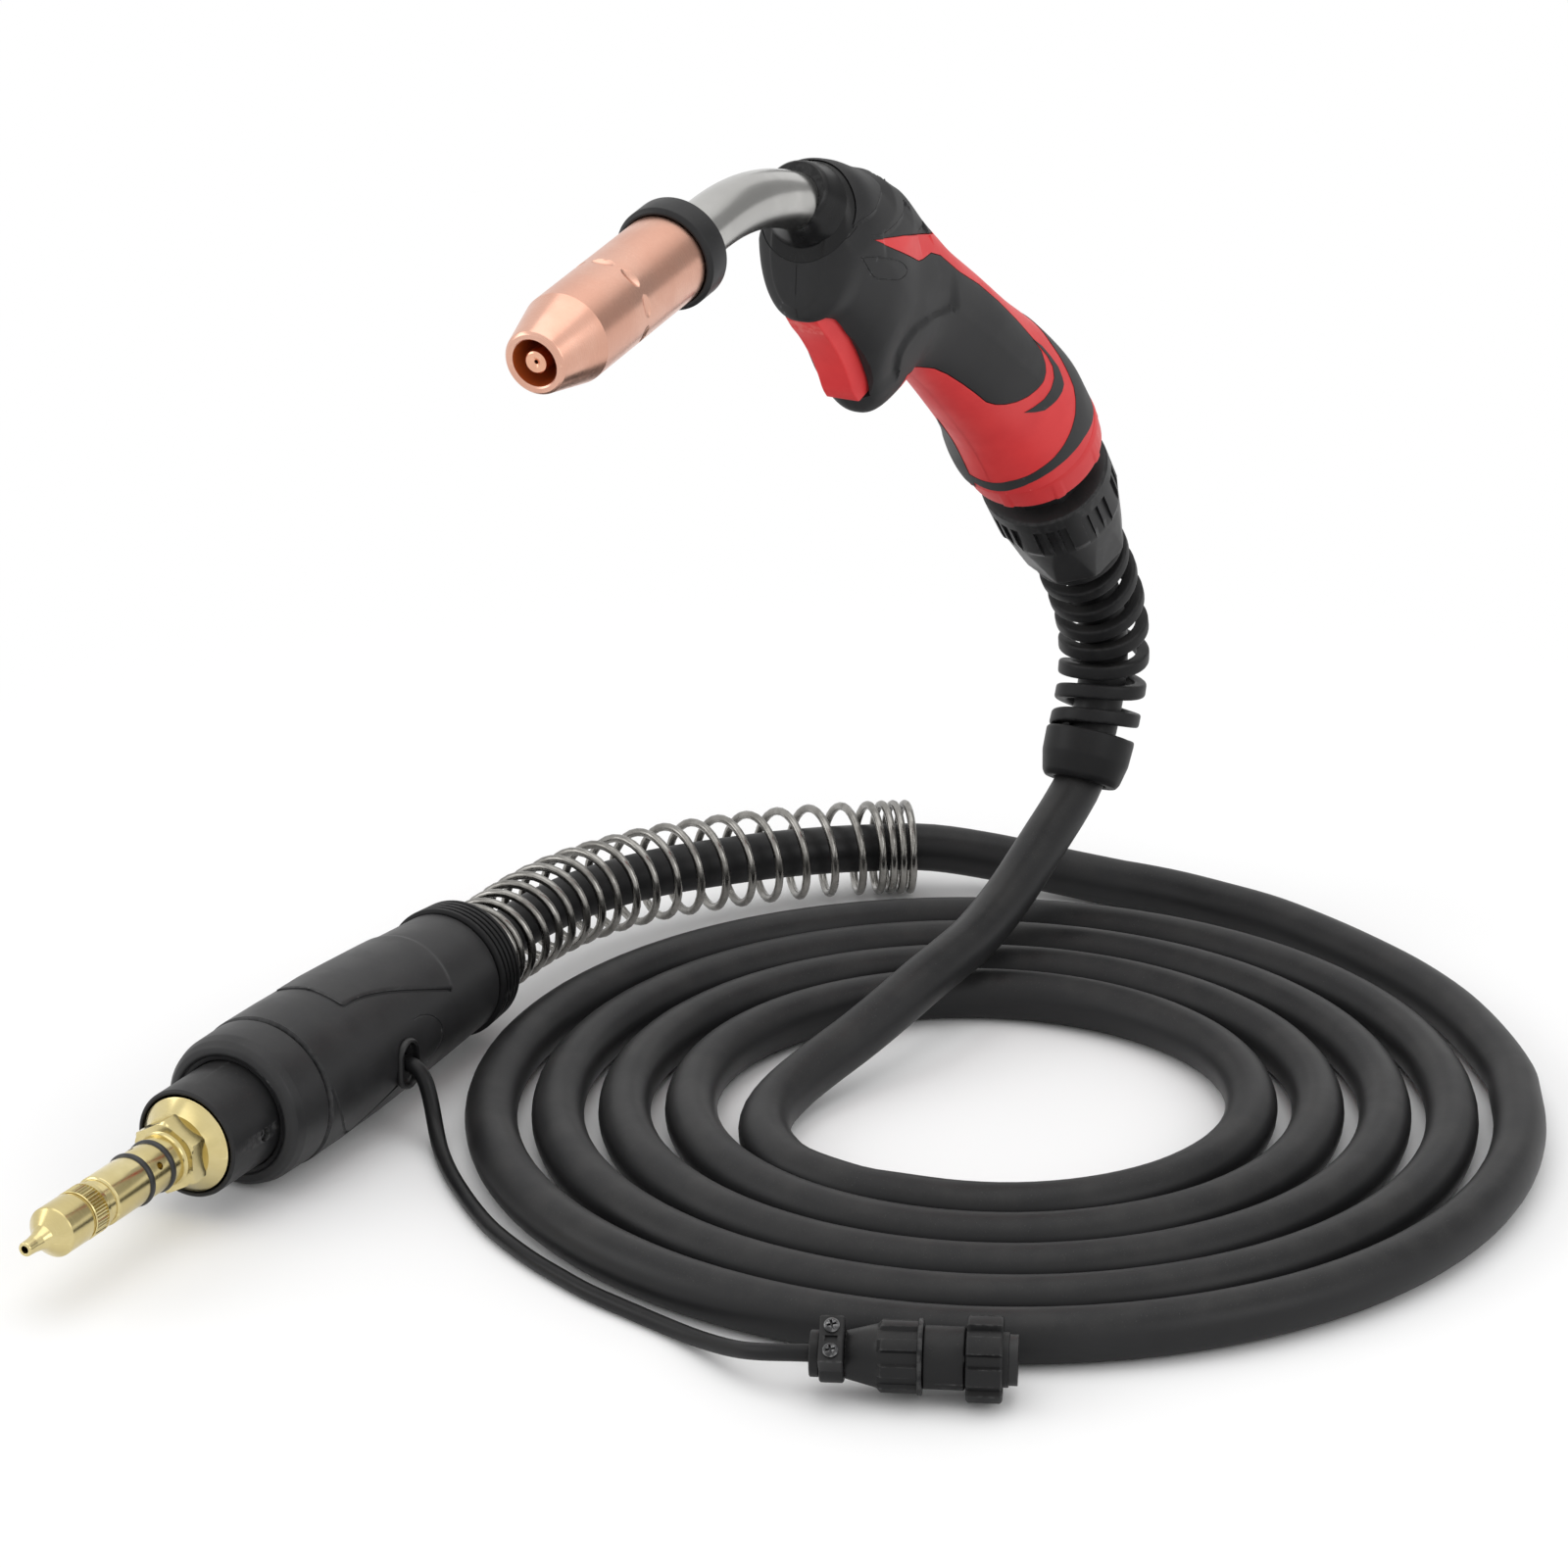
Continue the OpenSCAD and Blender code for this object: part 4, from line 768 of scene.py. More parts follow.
    @staticmethod
    def drawn(s: Shade, took: Took) -> Socket:
        """Height of an extruded sheath: long draw lines round it and slow waves along it, in metres.

        Args:
            s: builder of the group.
            took: the group's inputs.

        Returns:
            The height.
        """
        lines = s.noise(s.stretched(took["Coordinates"], (0, 0, 0), (6.0, 40.0, 1.0)), 1.0, 3, 0.6)
        waves = s.noise(s.stretched(took["Coordinates"], (0, 0, 0), (70.0, 2.0, 1.0)), 1.0, 2, 0.5)
        return s.math("MULTIPLY", s.math("MULTIPLY_ADD", waves, 2.0, lines), took["Depth"])


@dataclass(frozen=True)
class Finish:
    """How one kind of surface looks. Sizes are in millimetres and colours in display values."""

    name: str
    colour: tuple[float, float, float]
    patch: tuple[float, float, float]
    rough: float
    rough_patch: float
    patch_size: float = 25.0
    metallic: float = 0.0
    specular: float = 0.5
    grain: float = 0.0
    depth: float = 0.0
    worn: tuple[float, float, float] = (120, 120, 120)
    wear: float = 0.0
    dust: float = 0.0
    scratch: float = 0.0
    turned: Place | None = None
    lines: float = 9.0
    cord: bool = False
    sheen: float = 0.0


class Paint:
    """Makes each finish's material once and puts it on pieces."""

    def __init__(self) -> None:
        """Makes the shared node groups."""
        self.effects = Effects()
        self.made: dict[str, bpy.types.Material] = {}

    def material(self, finish: Finish) -> bpy.types.Material:
        """The material of a finish.

        Args:
            finish: what it looks like.

        Returns:
            A material whose colour, roughness and bump come from nodes.
        """
        if finish.name in self.made:
            return self.made[finish.name]
        material = bpy.data.materials.new(finish.name)
        material.diffuse_color = srgb(*finish.colour)
        s, e = emptied(material), self.effects
        at = s.add("ShaderNodeTexCoord").outputs["Object"]
        patch = s.group(e.patches, Coordinates=at, Scale=1000.0 / finish.patch_size)
        colour = s.blend(patch, srgb(*finish.colour), srgb(*finish.patch))
        rough = s.step(patch, 0.0, 1.0, finish.rough, finish.rough_patch)
        heights: list[Socket] = []
        if finish.turned:
            lines = s.group(e.turning, Coordinates=at, Centre=[k * MM for k in finish.turned.at],
                            Axis=finish.turned.along, Lines=finish.lines * 1000)
            rough = s.math("ADD", rough, s.step(lines, 0.3, 0.7, -0.05, 0.07))
            heights.append(s.math("MULTIPLY", lines, 1.6e-6))
        if finish.grain:
            heights.append(s.group(e.moulded, Coordinates=at, Scale=1000.0 / finish.grain,
                                   Depth=finish.depth * MM))
        if finish.cord:
            along = s.add("ShaderNodeUVMap", uv_map="along").outputs[0]
            heights.append(s.group(e.sheath, Coordinates=along, Depth=finish.depth * MM))
        worn = srgb(*finish.worn)
        for tree, amount, tint, change in ((e.scratches, finish.scratch, worn, 0.15),
                                           (e.worn, finish.wear, worn, -0.08),
                                           (e.dust, finish.dust, srgb(150, 146, 140), 0.35)):
            if amount:
                mask = s.group(tree, Coordinates=at, Amount=amount)
                colour = s.blend(mask, colour, tint)
                rough = s.math("ADD", rough, s.math("MULTIPLY", mask, change))
        inputs = {"Base Color": colour, "Roughness": s.math("MAXIMUM", rough, 0.03),
                  "Metallic": finish.metallic, "Specular IOR Level": finish.specular,
                  "Sheen Weight": finish.sheen, "Sheen Roughness": 0.5}
        if heights:
            total = heights[0]
            for more in heights[1:]:
                total = s.math("ADD", total, more)
            bump = s.add("ShaderNodeBump", {"Strength": 1.0, "Distance": 1.0, "Height": total})
            inputs["Normal"] = bump.outputs[0]
        shader = s.add("ShaderNodeBsdfPrincipled", inputs)
        s.add("ShaderNodeOutputMaterial", {"Surface": shader.outputs[0]})
        self.made[finish.name] = material
        return material

    def cover(self, piece: Piece, finish: Finish) -> None:
        """Puts a finish on every material slot of a piece.

        Args:
            piece: the piece.
            finish: its finish.
        """
        material = self.material(finish)
        if not piece.material_slots:
            piece.data.materials.append(material)
        for slot in piece.material_slots:
            slot.material = material

    def second(self, piece: Piece, finish: Finish, chosen: Array) -> None:
        """Puts a second finish on some faces of a piece.

        Args:
            piece: a piece that has one finish.
            finish: the second one.
            chosen: true for each face that takes it; faces past its end keep the first.
        """
        piece.data.materials.append(self.material(finish))
        index = np.zeros(len(piece.data.polygons), np.int32)
        index[:min(len(chosen), len(index))] = chosen[:len(index)]
        piece.data.polygons.foreach_set("material_index", index)


def fit(paint: Paint, piece: Piece, body: str, finish: Finish, slot: str, *nodes: str) -> Piece:
    """Finishes a piece and ties it to the model.

    Args:
        paint: the finishes' maker.
        piece: the new piece.
        body: the body that it moves with.
        finish: its finish.
        slot: the record's name of that finish; not used.
        nodes: the solids that it stands for.

    Returns:
        The piece.
    """
    paint.cover(piece, finish)
    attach(piece, body)
    if nodes:
        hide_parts(*nodes)
    LOG.info("%s: %d faces on %s, for %s", piece.name, len(piece.data.polygons), body,
             ", ".join(nodes) or "no solid")
    return piece


# ------------------------------------------------------------------ places and finishes

NOZZLE = in_plane(-210.379, 312.807, 9.3)
NECK = in_plane(-31.7, 314.1, -33.0)
BALL = in_plane(122.0, 200.0, -50.5)
RELIEF_END = in_plane(170.0, 60.0, -119.0)
HOUSING = Place((-185.0, 196.0, 26.5), (1.0, 0.0, 0.0), (0.0, 0.0, -1.0))
PIN = Place(HOUSING.at, (-1.0, 0.0, 0.0), (0.0, 0.0, 1.0))
PLUG_SLOPE = math.radians(-66.4)
PLUG = Place((-197.5, -36.5, 13.2), (math.cos(PLUG_SLOPE), math.sin(PLUG_SLOPE), 0.0), (0.0, 0.0, 1.0))

RED = Finish("Red grip moulding", (214, 60, 61), (206, 54, 57), 0.42, 0.49, specular=0.2, grain=0.35,
             depth=0.006, worn=(224, 120, 112), wear=0.5, dust=0.05, scratch=0.12)
BLACK = Finish("Black grip moulding", (33, 33, 34), (40, 40, 41), 0.50, 0.58, specular=0.24, grain=0.4,
               depth=0.012, worn=(92, 92, 94), wear=0.6, dust=0.07, scratch=0.12)
PAD = Finish("Soft grip rubber", (37, 37, 38), (46, 46, 47), 0.55, 0.66, specular=0.25, grain=0.5, depth=0.010,
             worn=(86, 86, 86), wear=0.4, dust=0.08, sheen=0.05)
BOOT = Finish("Glossy neck boot", (14, 14, 15), (19, 19, 20), 0.24, 0.32, specular=0.25, grain=0.9,
              depth=0.002, worn=(80, 80, 80), wear=0.3, dust=0.06)
NYLON = Finish("Black nylon", (27, 27, 28), (34, 34, 35), 0.38, 0.48, specular=0.26, grain=0.6, depth=0.006,
               worn=(98, 98, 98), wear=0.6, dust=0.07, scratch=0.15)
RELIEF = Finish("Strain relief rubber", (20, 20, 21), (27, 27, 28), 0.42, 0.52, specular=0.2, grain=0.7,
                depth=0.006, worn=(80, 80, 80), wear=0.5, dust=0.08)
SATIN = Finish("Satin housing moulding", (34, 34, 35), (41, 41, 42), 0.40, 0.48, specular=0.3, grain=0.55,
               depth=0.008, worn=(96, 96, 96), wear=0.6, dust=0.06, scratch=0.12)
JACKET = Finish("Power cable jacket", (28, 28, 29), (34, 34, 35), 0.40, 0.48, patch_size=60, specular=0.24,
                cord=True, depth=0.012, grain=0.5, worn=(90, 90, 90), dust=0.08, scratch=0.1)
JACKET_PLAIN = Finish("Inner lead jacket", (28, 28, 29), (34, 34, 35), 0.42, 0.50, specular=0.24, grain=0.5,
                      depth=0.01)
LEAD_JACKET = Finish("Control lead jacket", (20, 20, 21), (26, 26, 27), 0.34, 0.42, patch_size=30,
                     specular=0.2, cord=True, depth=0.005, dust=0.05)
COPPER = Finish("Drawn copper", (222, 175, 155), (214, 163, 142), 0.24, 0.30, metallic=1.0,
                worn=(250, 205, 180), wear=0.4, scratch=0.25, turned=NOZZLE, lines=7.0)
# Painted shade: a darker, more orange copy of the copper for the inside of the bore, which stands in for the
# shade and the bounced copper light in there.
BORE_SHADE_COPPER = Finish("Shaded copper", (208, 104, 48), (176, 78, 34), 0.32, 0.42, metallic=0.35, turned=NOZZLE,
                     lines=4.0, scratch=0.2, worn=(220, 150, 110))
TIP = Finish("Turned tip copper", (232, 178, 150), (214, 158, 130), 0.22, 0.30, metallic=1.0, turned=NOZZLE,
             lines=11.0, wear=0.3, worn=(250, 215, 190))
NECK_STEEL = Finish("Polished neck steel", (192, 191, 188), (178, 177, 174), 0.19, 0.25, metallic=1.0,
                    patch_size=40, worn=(205, 204, 200), scratch=0.12)
BRIGHT = Finish("Bright screw steel", (170, 170, 170), (150, 150, 150), 0.22, 0.32, metallic=1.0, wear=0.5,
                worn=(215, 215, 215), scratch=0.3, grain=0.6, depth=0.001)
BLACKED = Finish("Blackened screw steel", (70, 70, 71), (56, 56, 57), 0.28, 0.40, metallic=0.8, wear=0.7,
                 worn=(150, 150, 150), scratch=0.4, grain=0.5, depth=0.002)
SPRING = Finish("Drawn spring wire", (142, 140, 136), (116, 114, 110), 0.20, 0.32, metallic=1.0, patch_size=9,
                worn=(205, 203, 198), wear=0.2, scratch=0.4, grain=0.7, depth=0.0015)
BRASS = Finish("Turned brass", (220, 206, 156), (204, 188, 134), 0.15, 0.22, metallic=1.0, turned=PIN,
               lines=8.0, worn=(244, 230, 178), wear=0.4, scratch=0.2)
O_RING = Finish("O-ring rubber", (20, 20, 20), (26, 26, 26), 0.28, 0.36, specular=0.5, grain=0.3, depth=0.002,
                dust=0.06)
PLUG_BLACK = Finish("Plug moulding", (17, 17, 18), (22, 22, 23), 0.38, 0.46, specular=0.26, grain=0.5,
                    depth=0.006, worn=(84, 84, 84), wear=0.7, dust=0.07, scratch=0.12)
GROMMET = Finish("Grommet rubber", (18, 18, 19), (24, 24, 25), 0.36, 0.46, specular=0.4, grain=0.4,
                 depth=0.004, dust=0.06)
INSULATION = Finish("Neck insulation", (216, 212, 202), (204, 198, 186), 0.5, 0.6, grain=0.5, depth=0.01,
                    dust=0.1)
SWITCH = Finish("Switch moulding", (38, 66, 92), (30, 54, 78), 0.42, 0.5, grain=0.4, depth=0.008, wear=0.4)
INNER_BRASS = Finish("Inner brass", (200, 178, 112), (184, 160, 96), 0.22, 0.32, metallic=1.0, grain=0.5,
                     depth=0.002, wear=0.4, worn=(236, 222, 170))

# ------------------------------------------------------------------ the lead


@dataclass
class PowerCable:
    """The thick lead: up out of the coil into the strain relief, and back to the rear connector."""

    paint: Paint
    diameter: float = 17.5
    coil_radius: float = 176.9
    coil_pitch: float = 22.2
    coil_turns: float = 4.3
    coil_start: float = -62.0
    relief_exit: tuple[float, float, float] = RELIEF_END.at
    riser: tuple = ((-79, 29, 9), (-70.5, 42.5, 9), (-58, 53.5, 9), (-42, 60.5, 9), (-24, 62.5, 10),
                    (-6, 60.5, 12.5), (13, 56, 16.5), (31, 51.5, 21.5), (48, 48.5, 25.5), (64, 46.8, 27.5),
                    (81, 46, 29), (98, 46, 32), (114, 46, 36.5), (129, 46, 42), (143, 46, 47.5),
                    (157, 46, 53))
    tail: tuple = ((-125.9, 196, 26.5), (-70, 196, 26.5), (-19.5, 196, 26.5), (8, 196, 26.5), (36, 196, 26.2),
                   (64, 192.5, 25.2), (96, 181.6, 23.6), (128, 163, 21.4), (148, 148, 20), (165, 131, 18.8),
                   (179, 111.5, 17.8), (190, 89, 14.2), (197.2, 66, 10.4), (200.1, 43, 8.8), (200.3, 22, 8.8),
                   (197.8, 2, 8.8), (194, -19, 8.8), (186.5, -40, 8.8), (176, -63, 8.8), (162.5, -87, 8.8),
                   (144, -111, 8.8), (121.5, -132, 8.8))
    spring_turns: tuple = (0, 5, 5.6, 9.8, 14, 18.2, 22.4, 23, 26.4)
    spring_places: tuple = (0, 17.5, 21.5, 61.8, 105.2, 152.6, 204, 208, 222)
    spring_radius: float = 16.0
    spring_wire_radius: float = 1.5

    def coil(self) -> Array:
        """Flat spiral whose radius falls by the pitch in each turn.

        Returns:
            Its centre line from the inner end to the outer end, with one more point past each end.
        """
        turn = np.linspace(self.coil_turns, 0, 420)
        angle = np.radians(self.coil_start - 360 * turn)
        r = self.coil_radius - self.coil_pitch * turn
        flat = np.stack([r * np.cos(angle), r * np.sin(angle), np.full_like(r, self.diameter / 2)], axis=1)
        first = flat[0] + unit(flat[0] - flat[1]) * self.diameter
        last = flat[-1] + unit(flat[-1] - flat[-2]) * self.diameter
        return np.concatenate([[first], flat, [last]])

    def route(self) -> Array:
        """Way of the whole lead: down the riser, round the coil and along the tail.

        Returns:
            Centre line from inside the strain relief's end to the rear connector.
        """
        down, top = np.array(RELIEF_END.along), np.array(self.relief_exit)
        coil = self.coil()
        rise = np.concatenate([[top - 12 * down, top], np.array(self.riser, float)[::-1], coil[:2]])
        fall = np.concatenate([coil[-2:], np.array(self.tail, float)[::-1]])
        up = catmull(rise, np.linspace(0, len(rise) - 2, 30 * len(rise)))
        back = catmull(fall, np.linspace(1, len(fall) - 1, 30 * len(fall)))
        chain = evenly_chain(np.concatenate([up, coil[1:-1], back]), 6.0)
        chain[:, 2] = np.maximum(chain[:, 2], self.diameter / 2 + 0.03)
        return chain

    def spring_wire(self) -> Array:
        """Helix about the lead, whose turns and places along the lead are given by two rows of fixed points.

        It has five close turns behind the cap, open ones that widen outwards, and four close ones at the end.

        Returns:
            Centre line of the wire.
        """
        path = evenly_chain(catmull(self.tail, np.linspace(2, 12, 2000)), 0.5)
        run = distances(path)
        turn = np.linspace(0, self.spring_turns[-1], 793)
        s = np.interp(turn, self.spring_turns, self.spring_places)
        wide = np.ones(41) / 41
        s[20:-20] = np.convolve(s, wide, mode="valid")
        _, side, up = carried(path, (0, 0, 1))
        centre, side, up = (looked_up(grid, run, s) for grid in (path, side, up))
        angle = 2 * math.pi * turn[:, None]
        return centre + self.spring_radius * (np.cos(angle) * side + np.sin(angle) * up)

    def make(self, fittings: Sequence[str]) -> Piece:
        """Args:
            fittings: pieces of the connector on its far end; not used.

        Returns:
            The lead.
        """
        route = self.route()
        lead = tube("power_cable", route, self.diameter / 2, 28)
        fit(self.paint, lead, "lead", JACKET, "cable_rubber", "cable_riser", "cable_coil", "cable_tail")
        wire = tube("support_spring_wire", self.spring_wire(), self.spring_wire_radius, 12)
        fit(self.paint, wire, "lead", SPRING, "spring_steel", "support_spring")
        return lead


@dataclass
class ControlLead:
    """The thin lead from the rear housing to the trigger plug."""

    paint: Paint
    diameter: float = 5.4
    points: tuple = ((-92.5, 177, 24), (-92.5, 171, 24), (-93, 166.5, 23.5), (-94, 162.5, 20),
                     (-95, 160, 14.5), (-97, 157.5, 9), (-101, 154, 5.5), (-107, 149, 3.5), (-115, 142, 2.8),
                     (-125, 132.5, 2.8), (-138, 118.5, 2.8), (-149, 105, 2.8), (-157, 92.5, 2.8),
                     (-164, 79.5, 2.8), (-170, 66, 2.8), (-175.5, 52, 2.8), (-180, 36, 2.8), (-184.5, 20, 3),
                     (-190, 5, 4.5), (-196, -9, 7.6), (-199.8, -20, 10.8))

    def make(self, fittings: Sequence[str]) -> Piece:
        """Args:
            fittings: pieces of the plug on its far end; not used.

        Returns:
            The lead.
        """
        ends = PLUG.point(np.array([-5.0, 2.0]), 0, 0)
        route = evenly(np.concatenate([np.array(self.points, float), ends]), 2.5)
        lead = tube("control_lead_wire", route, self.diameter / 2, 20)
        fit(self.paint, lead, "lead", LEAD_JACKET, "cable_rubber", "control_lead")
        return lead


# ------------------------------------------------------------------ nozzle and neck


@dataclass
class NozzleEnd:
    """Gas nozzle, contact tip and the black ring behind them."""

    paint: Paint
    radius: float = 14.2
    dent_at: float = 42.0
    dent_depth: float = 0.8
    dent_half: tuple[float, float] = (1.8, 3.6)
    dent_step: float = 40.0
    dent_phase: float = 2.0
    sides: int = 264

    def dents(self, s: Array, r: Array, angle: Array) -> Array:
        """Nine lens-shaped dents: each falls off with the square of its distance along and round.

        Args:
            s: distance along the axis.
            r: radius of the plain nozzle.
            angle: angle round the axis.

        Returns:
            What is added to the radius.
        """
        step = math.radians(self.dent_step)
        turn = np.abs((angle - math.radians(self.dent_phase)) % step - step / 2) * self.radius
        reach = 1 - ((s - self.dent_at) / self.dent_half[0]) ** 2 - (turn / self.dent_half[1]) ** 2
        return np.where(r > self.radius - 0.2, -self.dent_depth * np.clip(reach, 0, 1) ** 0.8, 0.0)

    def make(self) -> None:
        """Builds the nozzle, the tip and the insulating ring."""
        wall = [[0.5, 7.2], [0, 7.7], [0, 8.9], [1.0, 9.85], [18.2, self.radius]]
        mid = [[k, self.radius] for k in np.linspace(39.4, 44.6, 21)]
        tail = [[78.9, self.radius], [79.3, 13.8], [79.3, 11.15], [22.2, 11.15], [16.2, 7.2]]
        outline = np.concatenate([filleted(wall, 0.25, False), mid, filleted(tail, 0.3, False)])
        nozzle = turned("gas_nozzle", NOZZLE, outline, self.sides, relief=self.dents, crease=11)
        fit(self.paint, nozzle, "nozzle", COPPER, "copper", "nozzle")
        # The last profile rows, the inside of the bore, take the copper with painted shade.
        painted_bore_rows = np.arange(len(outline)) >= len(outline) - 5
        self.paint.second(nozzle, BORE_SHADE_COPPER, np.repeat(painted_bore_rows, self.sides))
        tip = [[3.0, 0.6], [1.6, 0.62], [1.1, 1.6], [0.8, 2.5], [0.8, 2.9], [1.3, 3.5], [28.8, 3.5],
               [28.8, 0.6]]
        piece = turned("contact_tip_copper", NOZZLE, tip, 48, 0.12)
        fit(self.paint, piece, "torch", TIP, "contact_copper", "contact_tip")
        ring = [[48.8, 7.85], [48.8, 11.1], [79.5, 11.1], [79.5, 14.5], [76.5, 14.5], [76.5, 15.2],
                [77.7, 16.4], [86.0, 16.4], [87.0, 15.4], [87.0, 5.05], [62.8, 5.05], [62.8, 7.85]]
        piece = turned("insulating_ring_nylon", NOZZLE, ring, 120, 0.25)
        fit(self.paint, piece, "torch", NYLON, "nylon_black", "insulating_ring")


@dataclass
class Neck:
    """The bent steel tube and its route."""

    paint: Paint
    radius: float = 9.1
    bend: float = 106.0
    centre: tuple[float, float] = (-89.43, 225.2)
    bend_from: float = 105.2
    bend_angles: tuple[float, float] = (99.3, 57.0)

    def route(self, first: float = 86.5, inside: float = 17.0) -> Array:
        """Way of the tube: straight out of the black ring, round the bend, and straight into the handle.

        Args:
            first: where it starts, behind the nozzle's mouth.
            inside: how far it goes into the handle.

        Returns:
            Centre line.
        """
        straight = NOZZLE.point(np.linspace(first, self.bend_from, 6), 0, 0)[:-1]
        turn = np.radians(np.linspace(*self.bend_angles, 39))
        arc = np.stack([self.centre[0] + self.bend * np.cos(turn), np.full_like(turn, TORCH_Y),
                        self.centre[1] + self.bend * np.sin(turn)], axis=1)
        last = NECK.point(np.linspace(0, inside, 6), 0, 0)[1:]
        return np.concatenate([straight, arc, last])

    def make(self) -> None:
        """Builds the steel jacket."""
        jacket = tube("neck_tube", self.route(), self.radius, 72, ref=(0, 1, 0))
        fit(self.paint, jacket, "torch", NECK_STEEL, "neck_steel", "neck_jacket")


# ------------------------------------------------------------------ handle


@dataclass
class Grip:
    """The two-tone handle. Each station gives the top and bottom [x, z], the half width and the pinch."""

    paint: Paint
    stations: tuple = ((-47, 329, -51, 290, 10.1, .3), (-42.3, 333, -48, 285, 16.1, .6),
                       (-33.8, 334, -38.5, 281.5, 18.8, .8), (-21.2, 329.4, -28, 270.5, 19.6, 1),
                       (-6, 324.6, -18, 252.5, 19.1, 1), (8, 316.4, -8, 245, 17.4, 1),
                       (19.2, 306.6, 4, 246.5, 16.8, 1), (30.5, 297.4, 14, 252, 16.5, 1),
                       (40, 290, 24, 250.5, 16.8, 1), (57, 279, 38, 242, 18, 1), (78, 265, 57, 227, 20.35, 1),
                       (101.2, 251.6, 77, 209.5, 22.15, .7), (121.8, 237, 91.5, 193.2, 24.8, .1),
                       (134, 224.6, 100, 183.8, 25.1, 0))
    steps: tuple = (((-19.5, 331), (-19.9, 327.9), (-18.3, 325.4), (-18.2, 323), (-24.9, 321.4),
                     (-31.2, 319.5), (-39.8, 318), (-45.1, 315.5)),
                    ((-10, 324), (-7, 319.9), (-2.2, 316.2), (-4.5, 313.9), (-9.1, 312.6), (-16.4, 311.8),
                     (-26.5, 311.2)),
                    ((7, 316), (10.9, 310), (13.8, 307.1), (17.1, 304.4), (12, 303.9), (5.5, 303.7)))
    ledge: tuple = ((-45.2, 315.2), (-35.4, 312), (-11.1, 306.4), (5, 302.6), (23.5, 298.1))
    step_depth: float = 1.35
    fold: tuple = ((-4.8, 260.4), (-5.8, 265.4), (-3.5, 268.4), (2.2, 271.2), (10.5, 272.2), (20.7, 272),
                   (26, 272.1))
    fold_depth: float = 1.9
    badge: tuple = ((-40.5, 306), (-34.5, 305), (-27.4, 302.9), (-17.6, 299.5), (-12.2, 296), (-13.4, 294.1),
                    (-19.6, 294.2), (-25.9, 295.9), (-32.5, 297.9))
    pad: tuple = ((-80, 200), (2, 200), (2, 245), (4, 256), (12, 256), (23, 253.2), (29.9, 251.2),
                  (37.4, 247.4), (45.4, 242.5), (53.5, 237.1), (60, 232.5), (64.5, 230.6), (68.6, 229.8),
                  (73.2, 229.7), (77.9, 230.5), (82.3, 232.2), (85.9, 234.5), (87.5, 236.8), (87.9, 239.5),
                  (86.6, 244), (82.2, 249.2), (72.9, 257.8), (61.5, 267), (49.3, 275.3), (35.2, 282.8),
                  (21.5, 291.5), (13, 294.5), (4.6, 294.5), (.4, 295), (-19.6, 303.5), (-34.7, 310.5),
                  (-11.1, 306.4), (5, 302.6), (23.5, 298.1), (27, 330), (-80, 360))
    crescent: tuple = ((78.7, 224.4), (83.6, 223.5), (88.1, 223.2), (93.1, 225.2), (97.5, 227.7),
                       (99.4, 229.7), (99.1, 232.1), (97.7, 236), (93.2, 240.9), (88.2, 245.4), (82.2, 249.2),
                       (90.6, 241.5), (93.3, 237.2), (93, 233.5), (90.5, 230.5), (87, 227.5), (82.3, 225.6))
    band: tuple = ((90.5, 180), (90.8, 195.5), (92.6, 197.9), (94.4, 200.5), (97, 203.6), (100, 208),
                   (103, 213.2), (105.2, 217.9), (106.5, 222.7), (106.9, 226.8), (105.5, 231.3),
                   (103.3, 237.3), (100, 243), (96, 256), (116, 256), (122, 234), (123.5, 226),
                   (128.2, 217.6), (125.5, 214.4), (119.7, 211.5), (111.4, 208), (105, 203.8), (100.4, 200.3),
                   (97.2, 197.3), (94.8, 194.3), (94, 191.8), (94, 180))
    band_tip: tuple = ((60, 180), (66, 222), (70.5, 219.5), (75.7, 217), (80.5, 214.5), (85, 212),
                       (89, 209.5), (94, 207), (100, 205), (97, 180))
    slot: tuple = ((-46.5, 285.8), (-56, 280), (-30, 243), (-19.2, 251.2), (-12.8, 254.7), (-3.6, 259.2),
                   (-2.6, 261.5), (-22.5, 285.2), (-27.5, 292.2), (-30.5, 295.6), (-38, 295.6), (-43, 291))
    lips: tuple = ((-60, 281.8), (-45, 282.2), (-38, 281.6), (-33.5, 279.6), (-29, 275.8), (-24.6, 270.6),
                   (-20.6, 265), (-17.2, 259.4), (-15.6, 255.2), (-17.8, 251.2), (-24, 247), (-60, 250))
    screws: tuple = ((-12, 318.6), (1.5, 254), (68.5, 263), (82, 218))
    screw_recess: tuple[float, float] = (9.0, 3.1)
    wall: float = 2.6
    pad_gap: float = 0.28
    inlay_levels: tuple[float, float] = (-0.22, 0.8)
    rear: float = -8.2
    mouth_radius: float = 16.2
    line_radius: float = 0.4
    badge_line_radius: float = 0.28
    room: tuple = ((0, 18.6), (26, 19.6), (33, 20.6))
    boot_collar: tuple = ((-24.5, 10.0), (-24.0, 10.6), (-22.3, 11.2), (-19.6, 11.9), (-17, 12.8),
                          (-14.6, 13.8), (-12, 14.3), (-9, 14.4))
    rim: tuple = ((-14, 18.95), (-14, 21.8), (-8, 21.8), (-8, 25.0), (-5, 25.2), (4, 24.4), (5, 23.4),
                  (5, 22.1), (3.4, 22.0), (3.4, 19.6), (5, 19.5), (5, 18.4), (0, 18.6))

